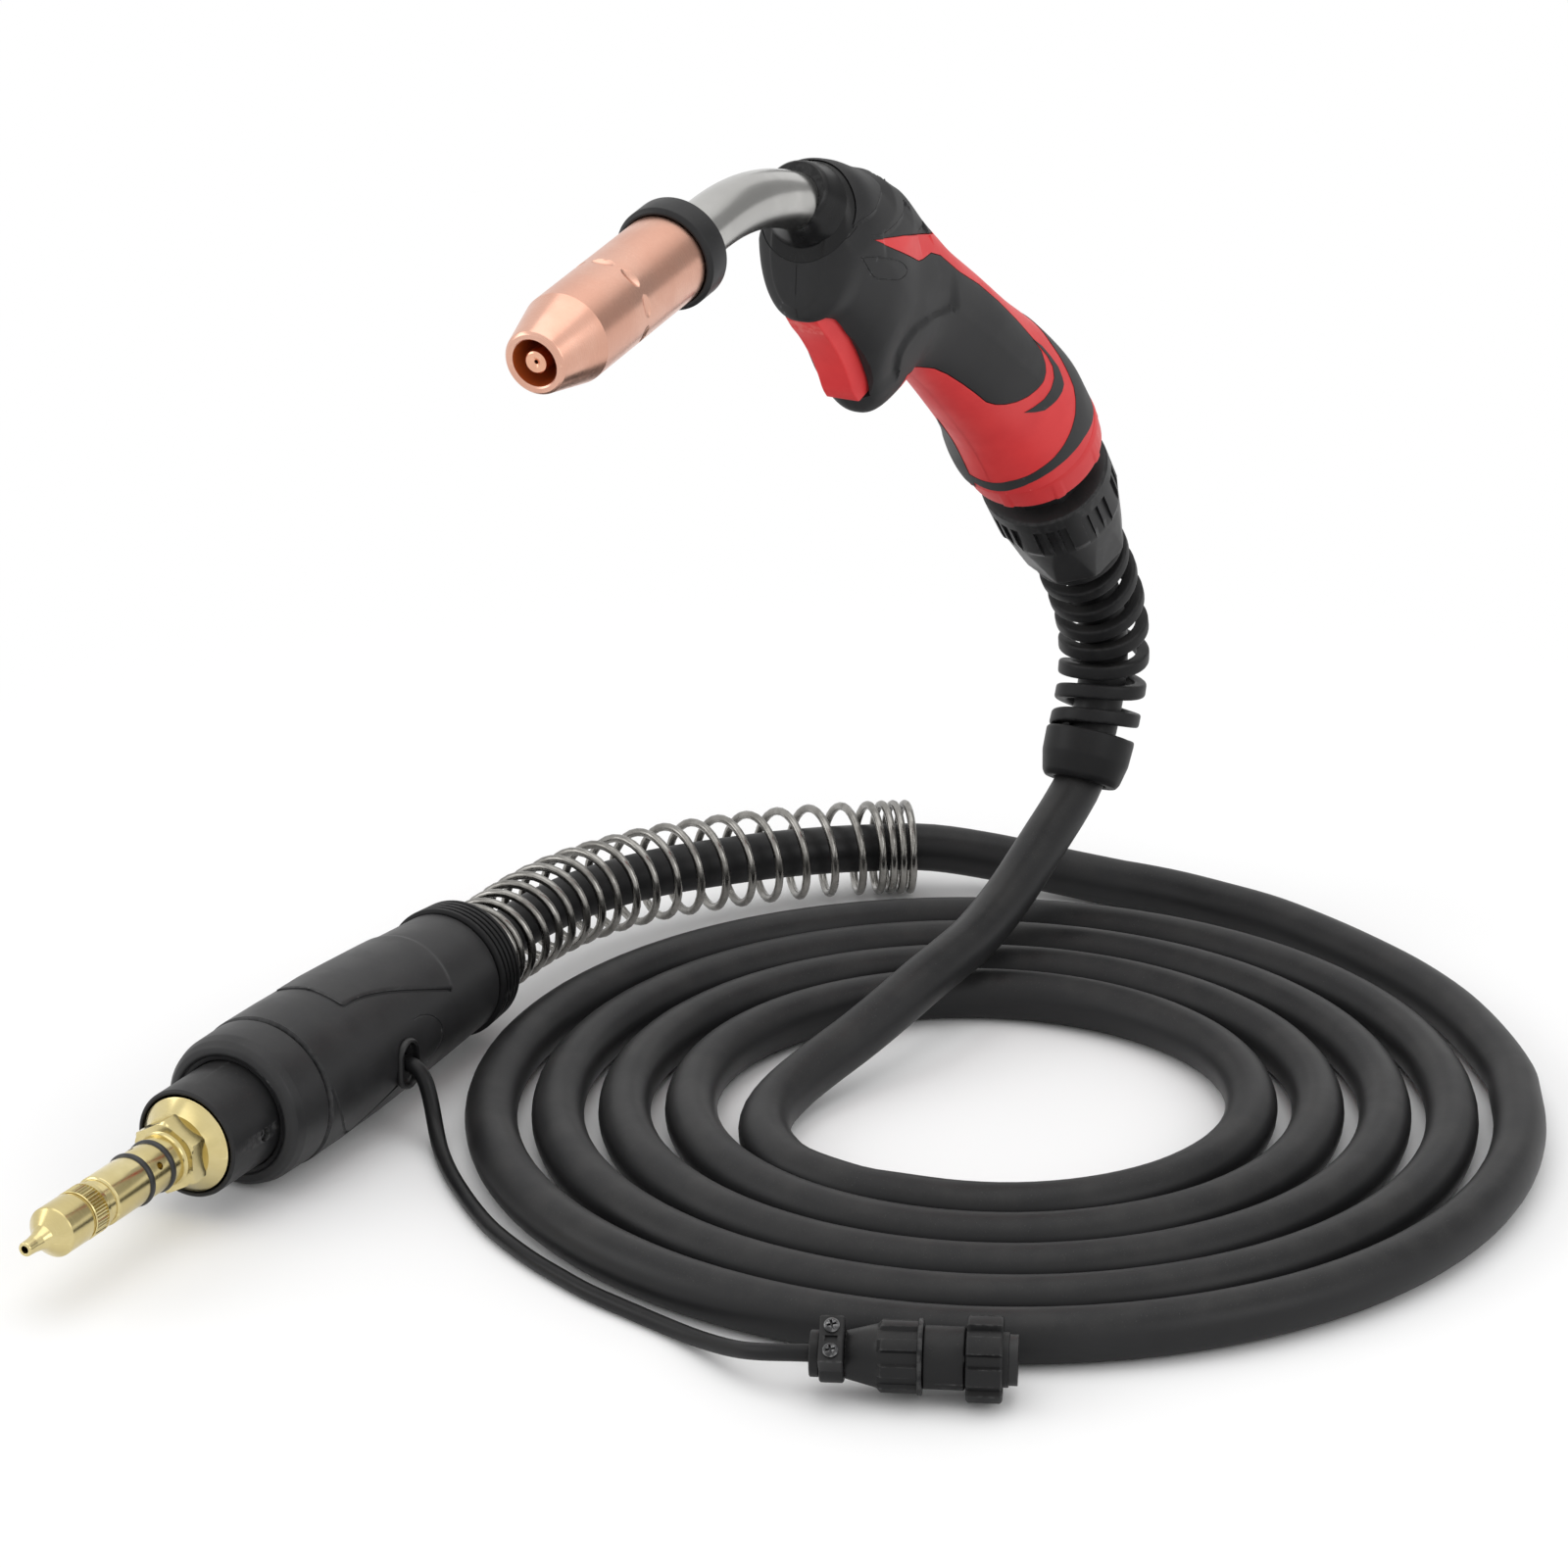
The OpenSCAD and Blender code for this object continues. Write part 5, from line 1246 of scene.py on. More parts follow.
    def outline(self, u: Array, angle: Array, inset: Array | float = 0.0) -> Array:
        """Skin of the handle.

        A section is a rounded square between its top and bottom point: height follows the sine of the angle
        and width its cosine, both to the power 2/p, with the underside pinched in.

        Args:
            u: station number from 0 to 13.
            angle: degrees round the section, 90 at the top and 0 on the far side.
            inset: how deep below the skin.

        Returns:
            Points, one for each pair of arguments.
        """
        u, angle, inset = np.broadcast_arrays(*(np.asarray(k, float) for k in (u, angle, inset)))
        row = catmull(np.array(self.stations, float), u)
        top, low, half, pinch = row[..., 0:2], row[..., 2:4], row[..., 4], row[..., 5]
        rise = top - low
        height = np.linalg.norm(rise, axis=-1) / 2
        power = 2.4 - 0.4 * np.clip((u - 9.5) / 3, 0, 1)
        sine, cosine = np.sin(np.radians(angle)), np.cos(np.radians(angle))
        v = np.sign(sine) * np.abs(sine) ** (2 / power)
        w = np.sign(cosine) * np.abs(cosine) ** (2 / power) * (1 - 0.24 * pinch * np.maximum(0, -v))
        spot = (top + low) / 2 + rise / (2 * height[..., None]) * ((height - inset) * v)[..., None]
        return np.stack([spot[..., 0], TORCH_Y + (half - inset) * w, spot[..., 1]], axis=-1)

    def shape(self, points: Array) -> Array:
        """How far the moulding sinks at three overlapping steps on the head and at the guard's fold.

        Args:
            points: places on the plain skin.

        Returns:
            Depth below the plain skin at each place.
        """
        x, z = points[..., 0], points[..., 2]
        sunk = np.zeros_like(x)
        for line in self.steps:
            away, side, over = beside(x, z, line)
            fall = np.where(side > 0, self.step_depth * np.clip(1 - away / 9, 0, 1), 0) * smooth(away / 1.1)
            sunk = np.maximum(sunk, fall * smooth(1 - over / 3))
        away, side, over = beside(x, z, self.fold)
        fading = np.clip(1 - away / 15, 0, 1) ** 1.5
        fall = self.fold_depth * np.where(side > 0, fading, 0) * smooth(away / 2.6)
        return sunk + fall * smooth(1 - over / 6)

    def solid(self, name: str, inset: float, start: float = 0.0, end: float = 13.0,
              plain: bool = False) -> Piece:
        """Closed body at a depth below the skin, with a softly domed front.

        Args:
            name: piece name.
            inset: depth below the skin.
            start: first station.
            end: last station.
            plain: leaves out the steps and the fold.

        Returns:
            The body.
        """
        u = np.linspace(start, end, int(21 * (end - start)))[:, None]
        angle = np.linspace(0, 360, 240, endpoint=False)[None, :]
        sunk = 0.0 if plain else self.shape(self.outline(u, angle))
        rings = self.outline(u, angle, inset + sunk)
        mid = rings[0].mean(axis=0)
        scale = np.array([0.15, 0.4, 0.65, 0.82, 0.93, 0.985])[:, None, None]
        dome = mid + (rings[0] - mid) * scale + np.array([-1.0, 0, 0.1]) * (0.9 * np.sqrt(1 - scale**2))
        return skinned(name, np.concatenate([dome, rings])[:, ::-1])

    def surface(self, line: Outline, side: int, step: float = 0.9, inset: float = 0.0) -> Array:
        """Points of the skin that a side view shows along a line.

        Args:
            line: (n, 2) points [x, z].
            side: -1 for the near side and 1 for the far one.
            step: distance between results.
            inset: depth below the skin.

        Returns:
            (m, 3) points.
        """
        flat = np.array([[p[0], 0, p[1]] for p in line], float)
        fine = evenly(flat, step)
        u, angle = np.meshgrid(np.linspace(0, 13, 700), np.linspace(-90, 90, 361), indexing="ij")
        skin = self.outline(u, angle, inset)
        found = []
        for p in fine:
            gap = (skin[..., 0] - p[0]) ** 2 + (skin[..., 2] - p[2]) ** 2
            near = np.argsort(gap, axis=None)[:6]
            weight = 1 / (gap.ravel()[near] + 0.01)
            y = (skin[..., 1].ravel()[near] * weight).sum() / weight.sum()
            found.append([p[0], TORCH_Y + side * (y - TORCH_Y), p[2]])
        return np.array(found)

    def scribe(self, piece: Piece, line: Outline, radius: float) -> None:
        """Cuts a round groove along a line on both sides of the handle."""
        for side in (-1, 1):
            carve(piece, tube("scribe", self.surface(line, side), radius, 8))

    def seam(self) -> Piece:
        """Tool for the parting line: a thin strip in the middle plane, from outside the skin to just inside.

        Returns:
            The tool.
        """
        u = np.linspace(0, 13, 240)
        ends = []
        for inset, front in ((-1.0, -2.1), (0.45, -0.6)):
            low = self.outline(u[::-1], -90.0, inset)
            top = self.outline(u, 90.0, inset)
            middle = (low[-1:] + top[:1]) / 2 + np.array([[front, 0, 0]])
            ends.append(np.concatenate([low, middle, top]))
        shift = np.array([0, 0.17, 0])
        grid = np.stack([ends[0] - shift, ends[0] + shift, ends[1] + shift, ends[1] - shift], axis=1)
        return skinned("seam", grid)

    def make(self, neck: Neck) -> None:
        """Carves the handle's pieces out of its skin.

        Args:
            neck: the tube that the boot fits round.
        """
        body = self.solid("body", 0.0)
        carve(body, self.solid("hollow", self.wall, 0.35, 13.3, True))
        carve(body, prism("slot", filleted(self.slot, 0.8), TORCH_Y - 7.9, TORCH_Y + 7.9))
        square = [[-60, 0, self.rear], [60, 0, self.rear], [60, 0, 60], [-60, 0, 60]]
        rear = BALL.local(*np.array(square).T)[:, ::2]
        carve(body, prism("rear", rear, -10, 110))
        bored(body, self.mouth(), [[0, self.mouth_radius], [45, self.mouth_radius]])
        carve(body, prism("lips", filleted(self.lips, 1.5), -20, 120))
        bored(body, BALL.moved(-40), self.room)
        carve(body, self.seam())
        for line in (self.ledge, *(step[1:] for step in self.steps)):
            self.scribe(body, line, self.line_radius)
        self.scribe(body, self.badge + self.badge[:1], self.badge_line_radius)
        depth, radius = self.screw_recess
        for x, z in self.screws:
            at = Place((x, TORCH_Y + depth, z), (0, 1, 0), (1, 0, 0))
            bored(body, at, [[0, radius], [20, radius]], sides=40)
        reds = copied(body, "handle_grip_red")
        carve(body, prism("pad_area", self.pad, -20, 120), Cut.KEEP)
        body.name = "handle_grip_black"
        carve(reds, prism("pad_gap", grown(self.pad, self.pad_gap), -20, 120))
        crescent = self.inlay("handle_inlay_crescent", prism("area", self.crescent, -20, 120))
        area = prism("area", self.band, -20, 120)
        carve(area, prism("tip", self.band_tip, TORCH_Y + 8, 119), Cut.ADD)
        band = self.inlay("handle_inlay_band", area)
        carve(band, prism("rear", rear, -10, 110))
        bored(band, BALL.moved(-40), self.room)
        for inlay in (crescent, band):
            fit(self.paint, inlay, "torch", PAD, "grip_rubber")
        fit(self.paint, body, "torch", BLACK, "grip_rubber", "grip_pad_left", "grip_pad_right")
        fit(self.paint, reds, "torch", RED, "red_plastic", "handle_shell_left", "handle_shell_right")
        self.boot(neck)
        self.rear_ring()

    def inlay(self, name: str, area: Piece) -> Piece:
        """A black inlay: a shell that stands just proud of the skin, inside an area.

        Args:
            name: piece name.
            area: block that bounds it, which is used up.

        Returns:
            The inlay.
        """
        outer, inner = self.inlay_levels
        piece = self.solid(name, outer, 6, 13, True)
        carve(piece, self.solid("core", inner, 5.5, 13.3, True))
        return carve(piece, area, Cut.KEEP)

    @staticmethod
    def mouth() -> Place:
        """Axis of the round opening in the head's front, 2 mm below the neck's."""
        return Place(tuple(NECK.point(-46.0, 2.0, 0)), NECK.along, NECK.side)

    def boot(self, neck: Neck) -> None:
        """The glossy boot: a plug of the handle's own skin with a collar round the neck.

        Args:
            neck: the tube that it fits round.
        """
        boot = self.solid("neck_boot_rubber", 0.38, 0, 5, True)
        plug = self.mouth_radius - 0.1
        bored(boot, self.mouth(), [[0, plug], [44.3, plug]], Cut.KEEP)
        bored(boot, NECK, self.boot_collar, Cut.ADD)
        carve(boot, tube("bore", neck.route(96, 30), neck.radius + 0.06, 72, ref=(0, 1, 0)))
        fit(self.paint, boot, "torch", BOOT, "black_plastic", "neck_boot")

    @staticmethod
    def teeth(s: Array, r: Array, angle: Array) -> Array:
        """Eight small teeth that stand out at the rim's rear edge.

        Args:
            s: distance along the axis.
            r: radius of the plain rim.
            angle: angle round the axis.

        Returns:
            What is added to the radius.
        """
        turn = np.abs((angle + math.pi / 8) % (math.pi / 4) - math.pi / 8) * 24
        return np.where((s > 3.2) & (r > 23), 0.55 * smooth((1.9 - turn) / 0.5), 0.0)

    def rear_ring(self) -> None:
        """The red rim with its teeth."""
        piece = turned("handle_rear_ring", BALL, filleted(self.rim, 0.4), 288, relief=self.teeth)
        fit(self.paint, piece, "torch", RED, "red_plastic", "rear_ring")


def beside(x: Array, z: Array, line: Outline) -> tuple[Array, Array, Array]:
    """Where points lie beside a chain of segments.

    Args:
        x: first coordinates.
        z: second coordinates.
        line: (n, 2) points.

    Returns:
        Distance from the chain, its sign (positive on the left hand in [x, z]) and how far past its ends.
    """
    p = np.asarray(line, float)
    a, d = p[:-1], np.diff(p, axis=0)
    size = np.linalg.norm(d, axis=1)
    rx, rz = x[..., None] - a[:, 0], z[..., None] - a[:, 1]
    t = (rx * d[:, 0] + rz * d[:, 1]) / size**2
    clipped = np.clip(t, 0, 1)
    gap = np.hypot(rx - clipped * d[:, 0], rz - clipped * d[:, 1])
    best = np.argmin(gap, axis=-1)[..., None]
    grids = (gap, t, d[:, 0] * rz - d[:, 1] * rx)
    gap, t, cross = (np.take_along_axis(grid, best, axis=-1)[..., 0] for grid in grids)
    excess = np.where(best[..., 0] == 0, np.maximum(0, -t) * size[0], 0)
    excess = excess + np.where(best[..., 0] == len(d) - 1, np.maximum(0, t - 1) * size[-1], 0)
    return gap, np.sign(cross), excess


@dataclass
class TriggerPiece:
    """The red trigger: its side outline, and a finger face with a flat middle and bevelled sides."""

    paint: Paint
    face: tuple = ((-47.6, 285.6), (-43.6, 281.4), (-38.4, 276.9), (-33.7, 272), (-29.4, 266.9),
                   (-25.6, 261.2), (-22.4, 255.7), (-19, 252))
    back: tuple = ((-13, 255.5), (-9.6, 258.6), (-8.4, 263.8), (-15.8, 272.6), (-26.2, 285), (-28.2, 289.5),
                   (-31, 293.8), (-37, 293.6), (-41.8, 289.2))
    half: float = 7.5
    flat: float = 5.6
    bevel: float = 8.5

    def make(self) -> None:
        """Builds the trigger as its outline's block, cut by a bevelled bar along the finger face."""
        outline = filleted(self.face + self.back, 1.2)
        block = prism("trigger_lever", outline, TORCH_Y - self.half, TORCH_Y + self.half)
        face = np.array(self.face, float)
        chain = np.concatenate([[2 * face[0] - face[1]], face, [2 * face[-1] - face[-2]]])
        fine = evenly(np.stack([chain[:, 0], np.full(len(chain), TORCH_Y), chain[:, 1]], axis=1), 0.8)
        ahead = unit(np.gradient(fine, axis=0))
        inward = np.stack([-ahead[:, 2], np.zeros(len(fine)), ahead[:, 0]], axis=1)
        section = filleted([[-self.flat, 0], [self.flat, 0], [self.half, self.bevel], [self.half + 1, 40],
                            [-self.half - 1, 40], [-self.half, self.bevel]], 0.7, steps=4)
        across = np.array([0.0, 1.0, 0.0])
        grid = fine[:, None] + section[None, :, :1] * across + section[None, :, 1:] * inward[:, None]
        bar = skinned("bar", grid)
        fix_normals(bar)
        carve(block, bar, Cut.KEEP, crease=22)
        fit(self.paint, block, "trigger", RED, "red_plastic", "trigger")


# ------------------------------------------------------------------ gland and strain relief


@dataclass
class Gland:
    """Gland nut, spiral-cut strain relief and the lead inside them."""

    paint: Paint
    relief: tuple = ((160.8, 152.9), (169.5, 142.5), (178.5, 130), (185, 117.5), (187.8, 105), (186.8, 92.5),
                     (181, 78.5))
    turns: float = 8.1
    band_width: float = 5.3
    band_depth: float = 4.6
    band_start: float = 5.34
    band_radius: float = 17.1
    collar_length: float = 16.5
    lead_radius: float = 8.7
    axis_step: float = 0.25

    def facets(self, s: Array, r: Array, angle: Array) -> Array:
        """Limits of the nut: eight flats up to the ring, an eight-sided front, and slots over the flats.

        Args:
            s: distance along the axis.
            r: radius of the plain profile.
            angle: angle round the axis.

        Returns:
            What is added to the radius.
        """
        fold = angle % (math.pi / 4) - math.pi / 8
        flat = (17.25 + (61 - s) * 0.19) / np.cos(fold)
        cut = np.where((r > 17) & (s > 24), np.minimum(r, flat), r + 0 * angle)
        cut = np.where((r > 15) & (r < 18) & (s < 17), np.minimum(r, 16.1 / np.cos(fold)), cut)
        across = np.abs((angle + math.pi / 32) % (math.pi / 16) - math.pi / 32) * 22.6
        slot = (across < 1.5) & (np.abs(fold) < 0.3) & (s > 23) & (s < 39) & (r > 20)
        return np.where(slot, np.minimum(cut, 21.7), cut) - r

    def nut(self) -> Piece:
        """The nut: a turned profile whose radius the facets limit.

        Returns:
            The nut.
        """
        outline = [[12, 10.6], [12, 16.7], [12.5, 17.2], [16.3, 17.4], [16.5, 17.6], [16.9, 21.2],
                   [17.3, 22.3], [18.1, 22.95], [19.3, 23.0], [22.9, 22.95], [23.1, 22.95]]
        outline += [[k, 22.95 - 0.02 * (k - 23)] for k in np.linspace(24, 36, 18)]
        outline += [[36.8, 22.5], [37.6, 22.0], [38.9, 21.6], [39.1, 21.55]]
        outline += [[k, 21.5 - 0.132 * (k - 39.4)] for k in np.linspace(39.4, 60.4, 16)]
        outline += [[61, 18.0], [61, 10.6]]
        edges = np.concatenate([11.25 * np.arange(32) + d for d in (-3.95, -3.72, 3.72, 3.95)])
        turn = np.concatenate([np.linspace(0, 2 * math.pi, 240, endpoint=False), np.radians(edges % 360)])
        turn = np.unique(np.round(turn, 4))
        piece = turned("gland_nut_nylon", BALL, outline, relief=self.facets, angles=turn, crease=26)
        return fit(self.paint, piece, "lead", NYLON, "nylon_black", "gland_nut")

    def centre(self) -> Array:
        """Axis of the relief from inside the nut to the lead's exit.

        Returns:
            Points at even distances.
        """
        first = BALL.point(np.array([53.0]), 0, 0)
        mids = np.array([(x, TORCH_Y, z) for x, z in self.relief])
        chain = np.concatenate([first, mids, [RELIEF_END.at]])
        return evenly_chain(catmull(chain, np.linspace(1, len(chain) - 1, 1600)), self.axis_step)

    def band(self) -> Piece:
        """Helical band: a rounded bar carried round the axis, whose pitch closes up towards the end collar.

        Returns:
            The band.
        """
        axis = self.centre()
        _, side, up = carried(axis, (0, 1, 0))
        tangent = unit(np.gradient(axis, axis=0))
        k = np.linspace(0, 1, int(self.turns * 56))
        reach = len(axis) * self.axis_step - self.collar_length + 4.6
        run = (4.2 + reach * (1.2 * k - 0.2 * k**2)) / self.axis_step
        row = np.arange(len(axis))
        axis, tangent, side, up = (looked_up(grid, row, run) for grid in (axis, tangent, side, up))
        angle = (2 * math.pi * self.turns * k + self.band_start)[:, None]
        out = unit(np.cos(angle) * side + np.sin(angle) * up)
        outer = self.band_radius - 1.3 * k - 1.8 * smooth((k - 0.95) / 0.04)
        half = self.band_width / 2
        low = -self.band_depth
        bar = filleted([[-half, low], [half, low], [half, 0], [-half, 0]], 1.3, steps=4)
        grid = (axis[:, None] + bar[None, :, :1] * tangent[:, None]
                + (outer[:, None, None] + bar[None, :, 1:]) * out[:, None])
        piece = skinned("strain_relief_band", grid)
        fix_normals(piece)
        return piece

    def make(self) -> None:
        """Builds the nut, the spiral band with its end collar, and the lead inside."""
        self.nut()
        cup = [[-self.collar_length, 9.8], [-self.collar_length, 15.5], [-15.7, 16.2], [-7.5, 15.9],
               [-0.3, 14.3], [1.5, 13.1], [1.5, 9.8]]
        collar = turned("strain_relief_collar", RELIEF_END, cup, 120, 0.7)
        neck = [[0.2, 9.4], [0.2, 16.6], [0.6, 17], [3.0, 17], [3.6, 16.4], [3.6, 9.4]]
        head = turned("strain_relief_head", BALL.moved(61), neck, 120, 0.2)
        spiral = self.band()
        for piece in (collar, head, spiral):
            fit(self.paint, piece, "lead", RELIEF, "grip_rubber", "strain_relief")
        inner = BALL.point(np.linspace(30, 60, 8), 0, 0)
        chain = np.concatenate([inner, self.centre()[2:-40:12]])
        core = tube("lead_inside_relief", evenly_chain(chain, 3.0), self.lead_radius, 28)
        fit(self.paint, core, "lead", JACKET, "cable_rubber")


# ------------------------------------------------------------------ rear connector


@dataclass
class RearConnector:
    """Housing of the rear connector, its collar, its cap and its grommet.

    The scribed lines are rows of distance from the housing's front and degrees from its underside. The
    panel's edge is in degrees from the top.
    """

    paint: Paint
    panel_edge: tuple = ((102.5, 65.4), (92.2, 56.6), (81.1, 47.2), (70.5, 38.9), (61.2, 33.5), (54.4, 31.3),
                         (48.9, 30.4), (47.8, 22.8), (47.6, 11.8), (48.0, 0))
    panel_rise: float = 0.55
    low_vee: tuple = ((22.0, 103), (24.0, 90), (27.0, 77), (31.5, 62), (38.5, 49), (44, 52), (52.5, 60),
                      (60, 66), (66.3, 70))
    thumb: tuple = ((75.8, 247.5), (81.1, 248.5), (86.6, 253.4), (90.7, 261.7), (92.4, 270.2), (91.5, 277.9),
                    (88.8, 284.1), (84.3, 290.2))
    line_radii: tuple[float, float, float] = (0.55, 0.85, 0.35)
    mm_in_degree: float = 0.45
    rib_count: int = 5
    rib_step: float = 2.6

    @staticmethod
    def radius(s: Array) -> Array:
        """Radius of the plain housing at a distance from its front."""
        at = [0, 20.5, 40, 62.5, 80, 100.5, 120, 134]
        return np.interp(s, at, [26.4, 26.48, 26.4, 25.9, 25.1, 24.0, 22.8, 22.0])

    def panel(self, s: Array, r: Array, angle: Array) -> Array:
        """Raised top panel: inside the V line and ahead of its soft rear edge.

        Args:
            s: distance along the axis.
            r: radius of the plain profile.
            angle: angle round the axis.

        Returns:
            What is added to the radius.
        """
        off = np.abs(np.degrees(angle) - 180)
        edge = np.array(((106, 68), *self.panel_edge[:7], (47, 30)))[::-1]
        wide = np.interp(s, edge[:, 0], edge[:, 1])
        rear = smooth((107.8 - 0.0008 * off**2 - s) / 2.2)
        inside = smooth((wide - off) / 3.0) * smooth((s - 47.6) / 1.0) * rear
        return np.where(r > 20.5, self.panel_rise * inside, 0.0)

    def scribe(self, body: Piece, at: Place) -> None:
        """Cuts the housing's scribed lines, each with a round tool that follows it on both sides.

        Args:
            body: the housing.
            at: frame of its axis.
        """
        top_line = [(s, turn + 180) for s, turn in self.panel_edge]
        for line, radius in zip((top_line, self.low_vee, self.thumb), self.line_radii):
            flat = evenly(np.array([(s, turn * self.mm_in_degree, 0) for s, turn in line]), 1.2)
            s, turn = flat[:, 0], np.radians(flat[:, 1] / self.mm_in_degree)
            for sign in (1, -1):
                carve(body, tube("scribe", at.point(s, self.radius(s) + 0.12, sign * turn), radius, 8))

    def cap_outline(self) -> list[list[float]]:
        """Profile of the ribbed cap: five rings, each a little smaller than the one before.

        Returns:
            Rows of distance and radius.
        """
        outline = [[0.1, 10.4], [0.1, 22.3]]
        for k in range(self.rib_count):
            s, r = k * self.rib_step, 23.5 - 0.2 * k
            outline += [[0.6 + s, r], [1.9 + s, r], [2.3 + s, r - 1.8], [2.9 + s, r - 1.9]]
        return outline + [[13.5, 21.4], [14, 20.4], [14, 18.1], [5, 18.0], [5, 10.4]]

    def make(self) -> list[str]:
        """Builds the housing's pieces.

        Returns:
            Their names.
        """
        shell = HOUSING.moved(25.0)
        front = [[1.2, 18.75], [0.9, 20.4], [0.2, 20.9], [0.0, 21.7], [0.7, 23.5], [2.6, 25.0], [6.0, 25.9],
                 [19.0, 26.1], [20.0, 24.9], [20.0, 18.75]]
        ring = turned("housing_front_ring_cover", shell, front, 144, 0.5)
        fit(self.paint, ring, "lead", SATIN, "black_plastic", "housing_front_ring")
        s = np.linspace(21.2, 133.4, 140)
        outline = np.concatenate([[[20.3, 19.5], [20.3, 24.9], [21.0, 26.3]],
                                  np.stack([s, self.radius(s)], axis=1), [[133.9, 21.6], [133.9, 19.5]]])
        body = turned("housing_cover", shell, outline, 240, relief=self.panel)
        self.scribe(body, shell)
        centre = (-92.5, 196.0, 24.0)
        carve(body, self.oval("hole", centre, [[18, 5.3], [32, 5.3]], True))
        fit(self.paint, body, "lead", SATIN, "black_plastic", "housing_shell_left", "housing_shell_right")
        rim = [[19.5, 2.9], [24.0, 2.9], [25.2, 3.4], [25.6, 3.9], [26.6, 4.2], [27.4, 4.5], [27.7, 4.9],
               [27.4, 5.6], [26.4, 6.0], [25.4, 6.0], [25.2, 5.2], [19.5, 5.2]]
        grommet = self.oval("grommet_rubber", centre, filleted(rim, 0.3), False)
        fit(self.paint, grommet, "lead", GROMMET, "grip_rubber", "lead_grommet")
        rear = turned("housing_rear_cap", HOUSING.moved(159.0), self.cap_outline(), 144, 0.28)
        fit(self.paint, rear, "lead", RELIEF, "grip_rubber", "rear_cap")
        return [k.name for k in (ring, body, grommet, rear)] + self.front_collar()

    @staticmethod
    def hexagon(s: Array, r: Array, angle: Array) -> Array:
        """Six-sided socket of a set screw."""
        return np.where(r < 1.3, 1.05 / np.cos(angle % (math.pi / 3) - math.pi / 6) - r, 0.0)

    def front_collar(self) -> list[str]:
        """Builds the collar in the front of the housing and its two set screws.

        Returns:
            Their names.
        """
        sleeve = [[2.0, 16.75], [0.4, 16.9], [0.0, 17.2], [0.0, 17.8], [0.7, 18.5], [45.2, 18.5],
                  [45.2, 15.2], [9, 15.2], [9, 15.4], [2.2, 16.6]]
        collar = turned("front_collar_sleeve", HOUSING, sleeve, 144, 0.15)
        head = [[13.8, 1.1], [13.8, 2.2], [16.7, 2.2], [17.1, 1.9], [17.1, 1.5], [16.9, 1.1], [15.2, 1.1]]
        screws = []
        for sign in (-1.0, 1.0):
            at = Place(HOUSING.moved(18.0).at, (0.0, sign, 0.0), (0.0, 0.0, 1.0))
            bored(collar, at, [[12, 2.3], [22, 2.3]], sides=40)
            screws.append(turned("collar_screw", at, head, 48, relief=self.hexagon))
        fit(self.paint, collar, "lead", NYLON, "nylon_black", "front_collar")
        pair = fit(self.paint, joined("collar_set_screws", screws), "lead", BLACKED, "bright_steel",
                   "collar_screws")
        return [collar.name, pair.name]

    @staticmethod
    def oval(name: str, centre: Sequence[float], profile: Outline, capped: bool) -> Piece:
        """Upright oval turned about -Y: a circle whose halves stand 3 mm apart.

        Args:
            name: piece name.
            centre: a point on its axis.
            profile: rows of distance out from the housing's axis and radius.
            capped: closes the ends instead of joining the last row to the first.

        Returns:
            The piece.
        """
        p = np.asarray(profile, float)
        turn = np.linspace(0, 2 * math.pi, 72, endpoint=False)[None, :]
        x = centre[0] + p[:, 1:] * np.cos(turn)
        apart = np.sign(np.round(np.sin(turn), 6)) * np.where(p[:, 1:] > 3.2, 3.0, 0.4)
        z = centre[2] + p[:, 1:] * np.sin(turn) + apart
        grid = np.stack([x, centre[1] - p[:, :1] + 0 * turn, z], axis=-1)
        piece = skinned(name, grid, wrap_u=not capped, caps=capped)
        fix_normals(piece)
        return piece


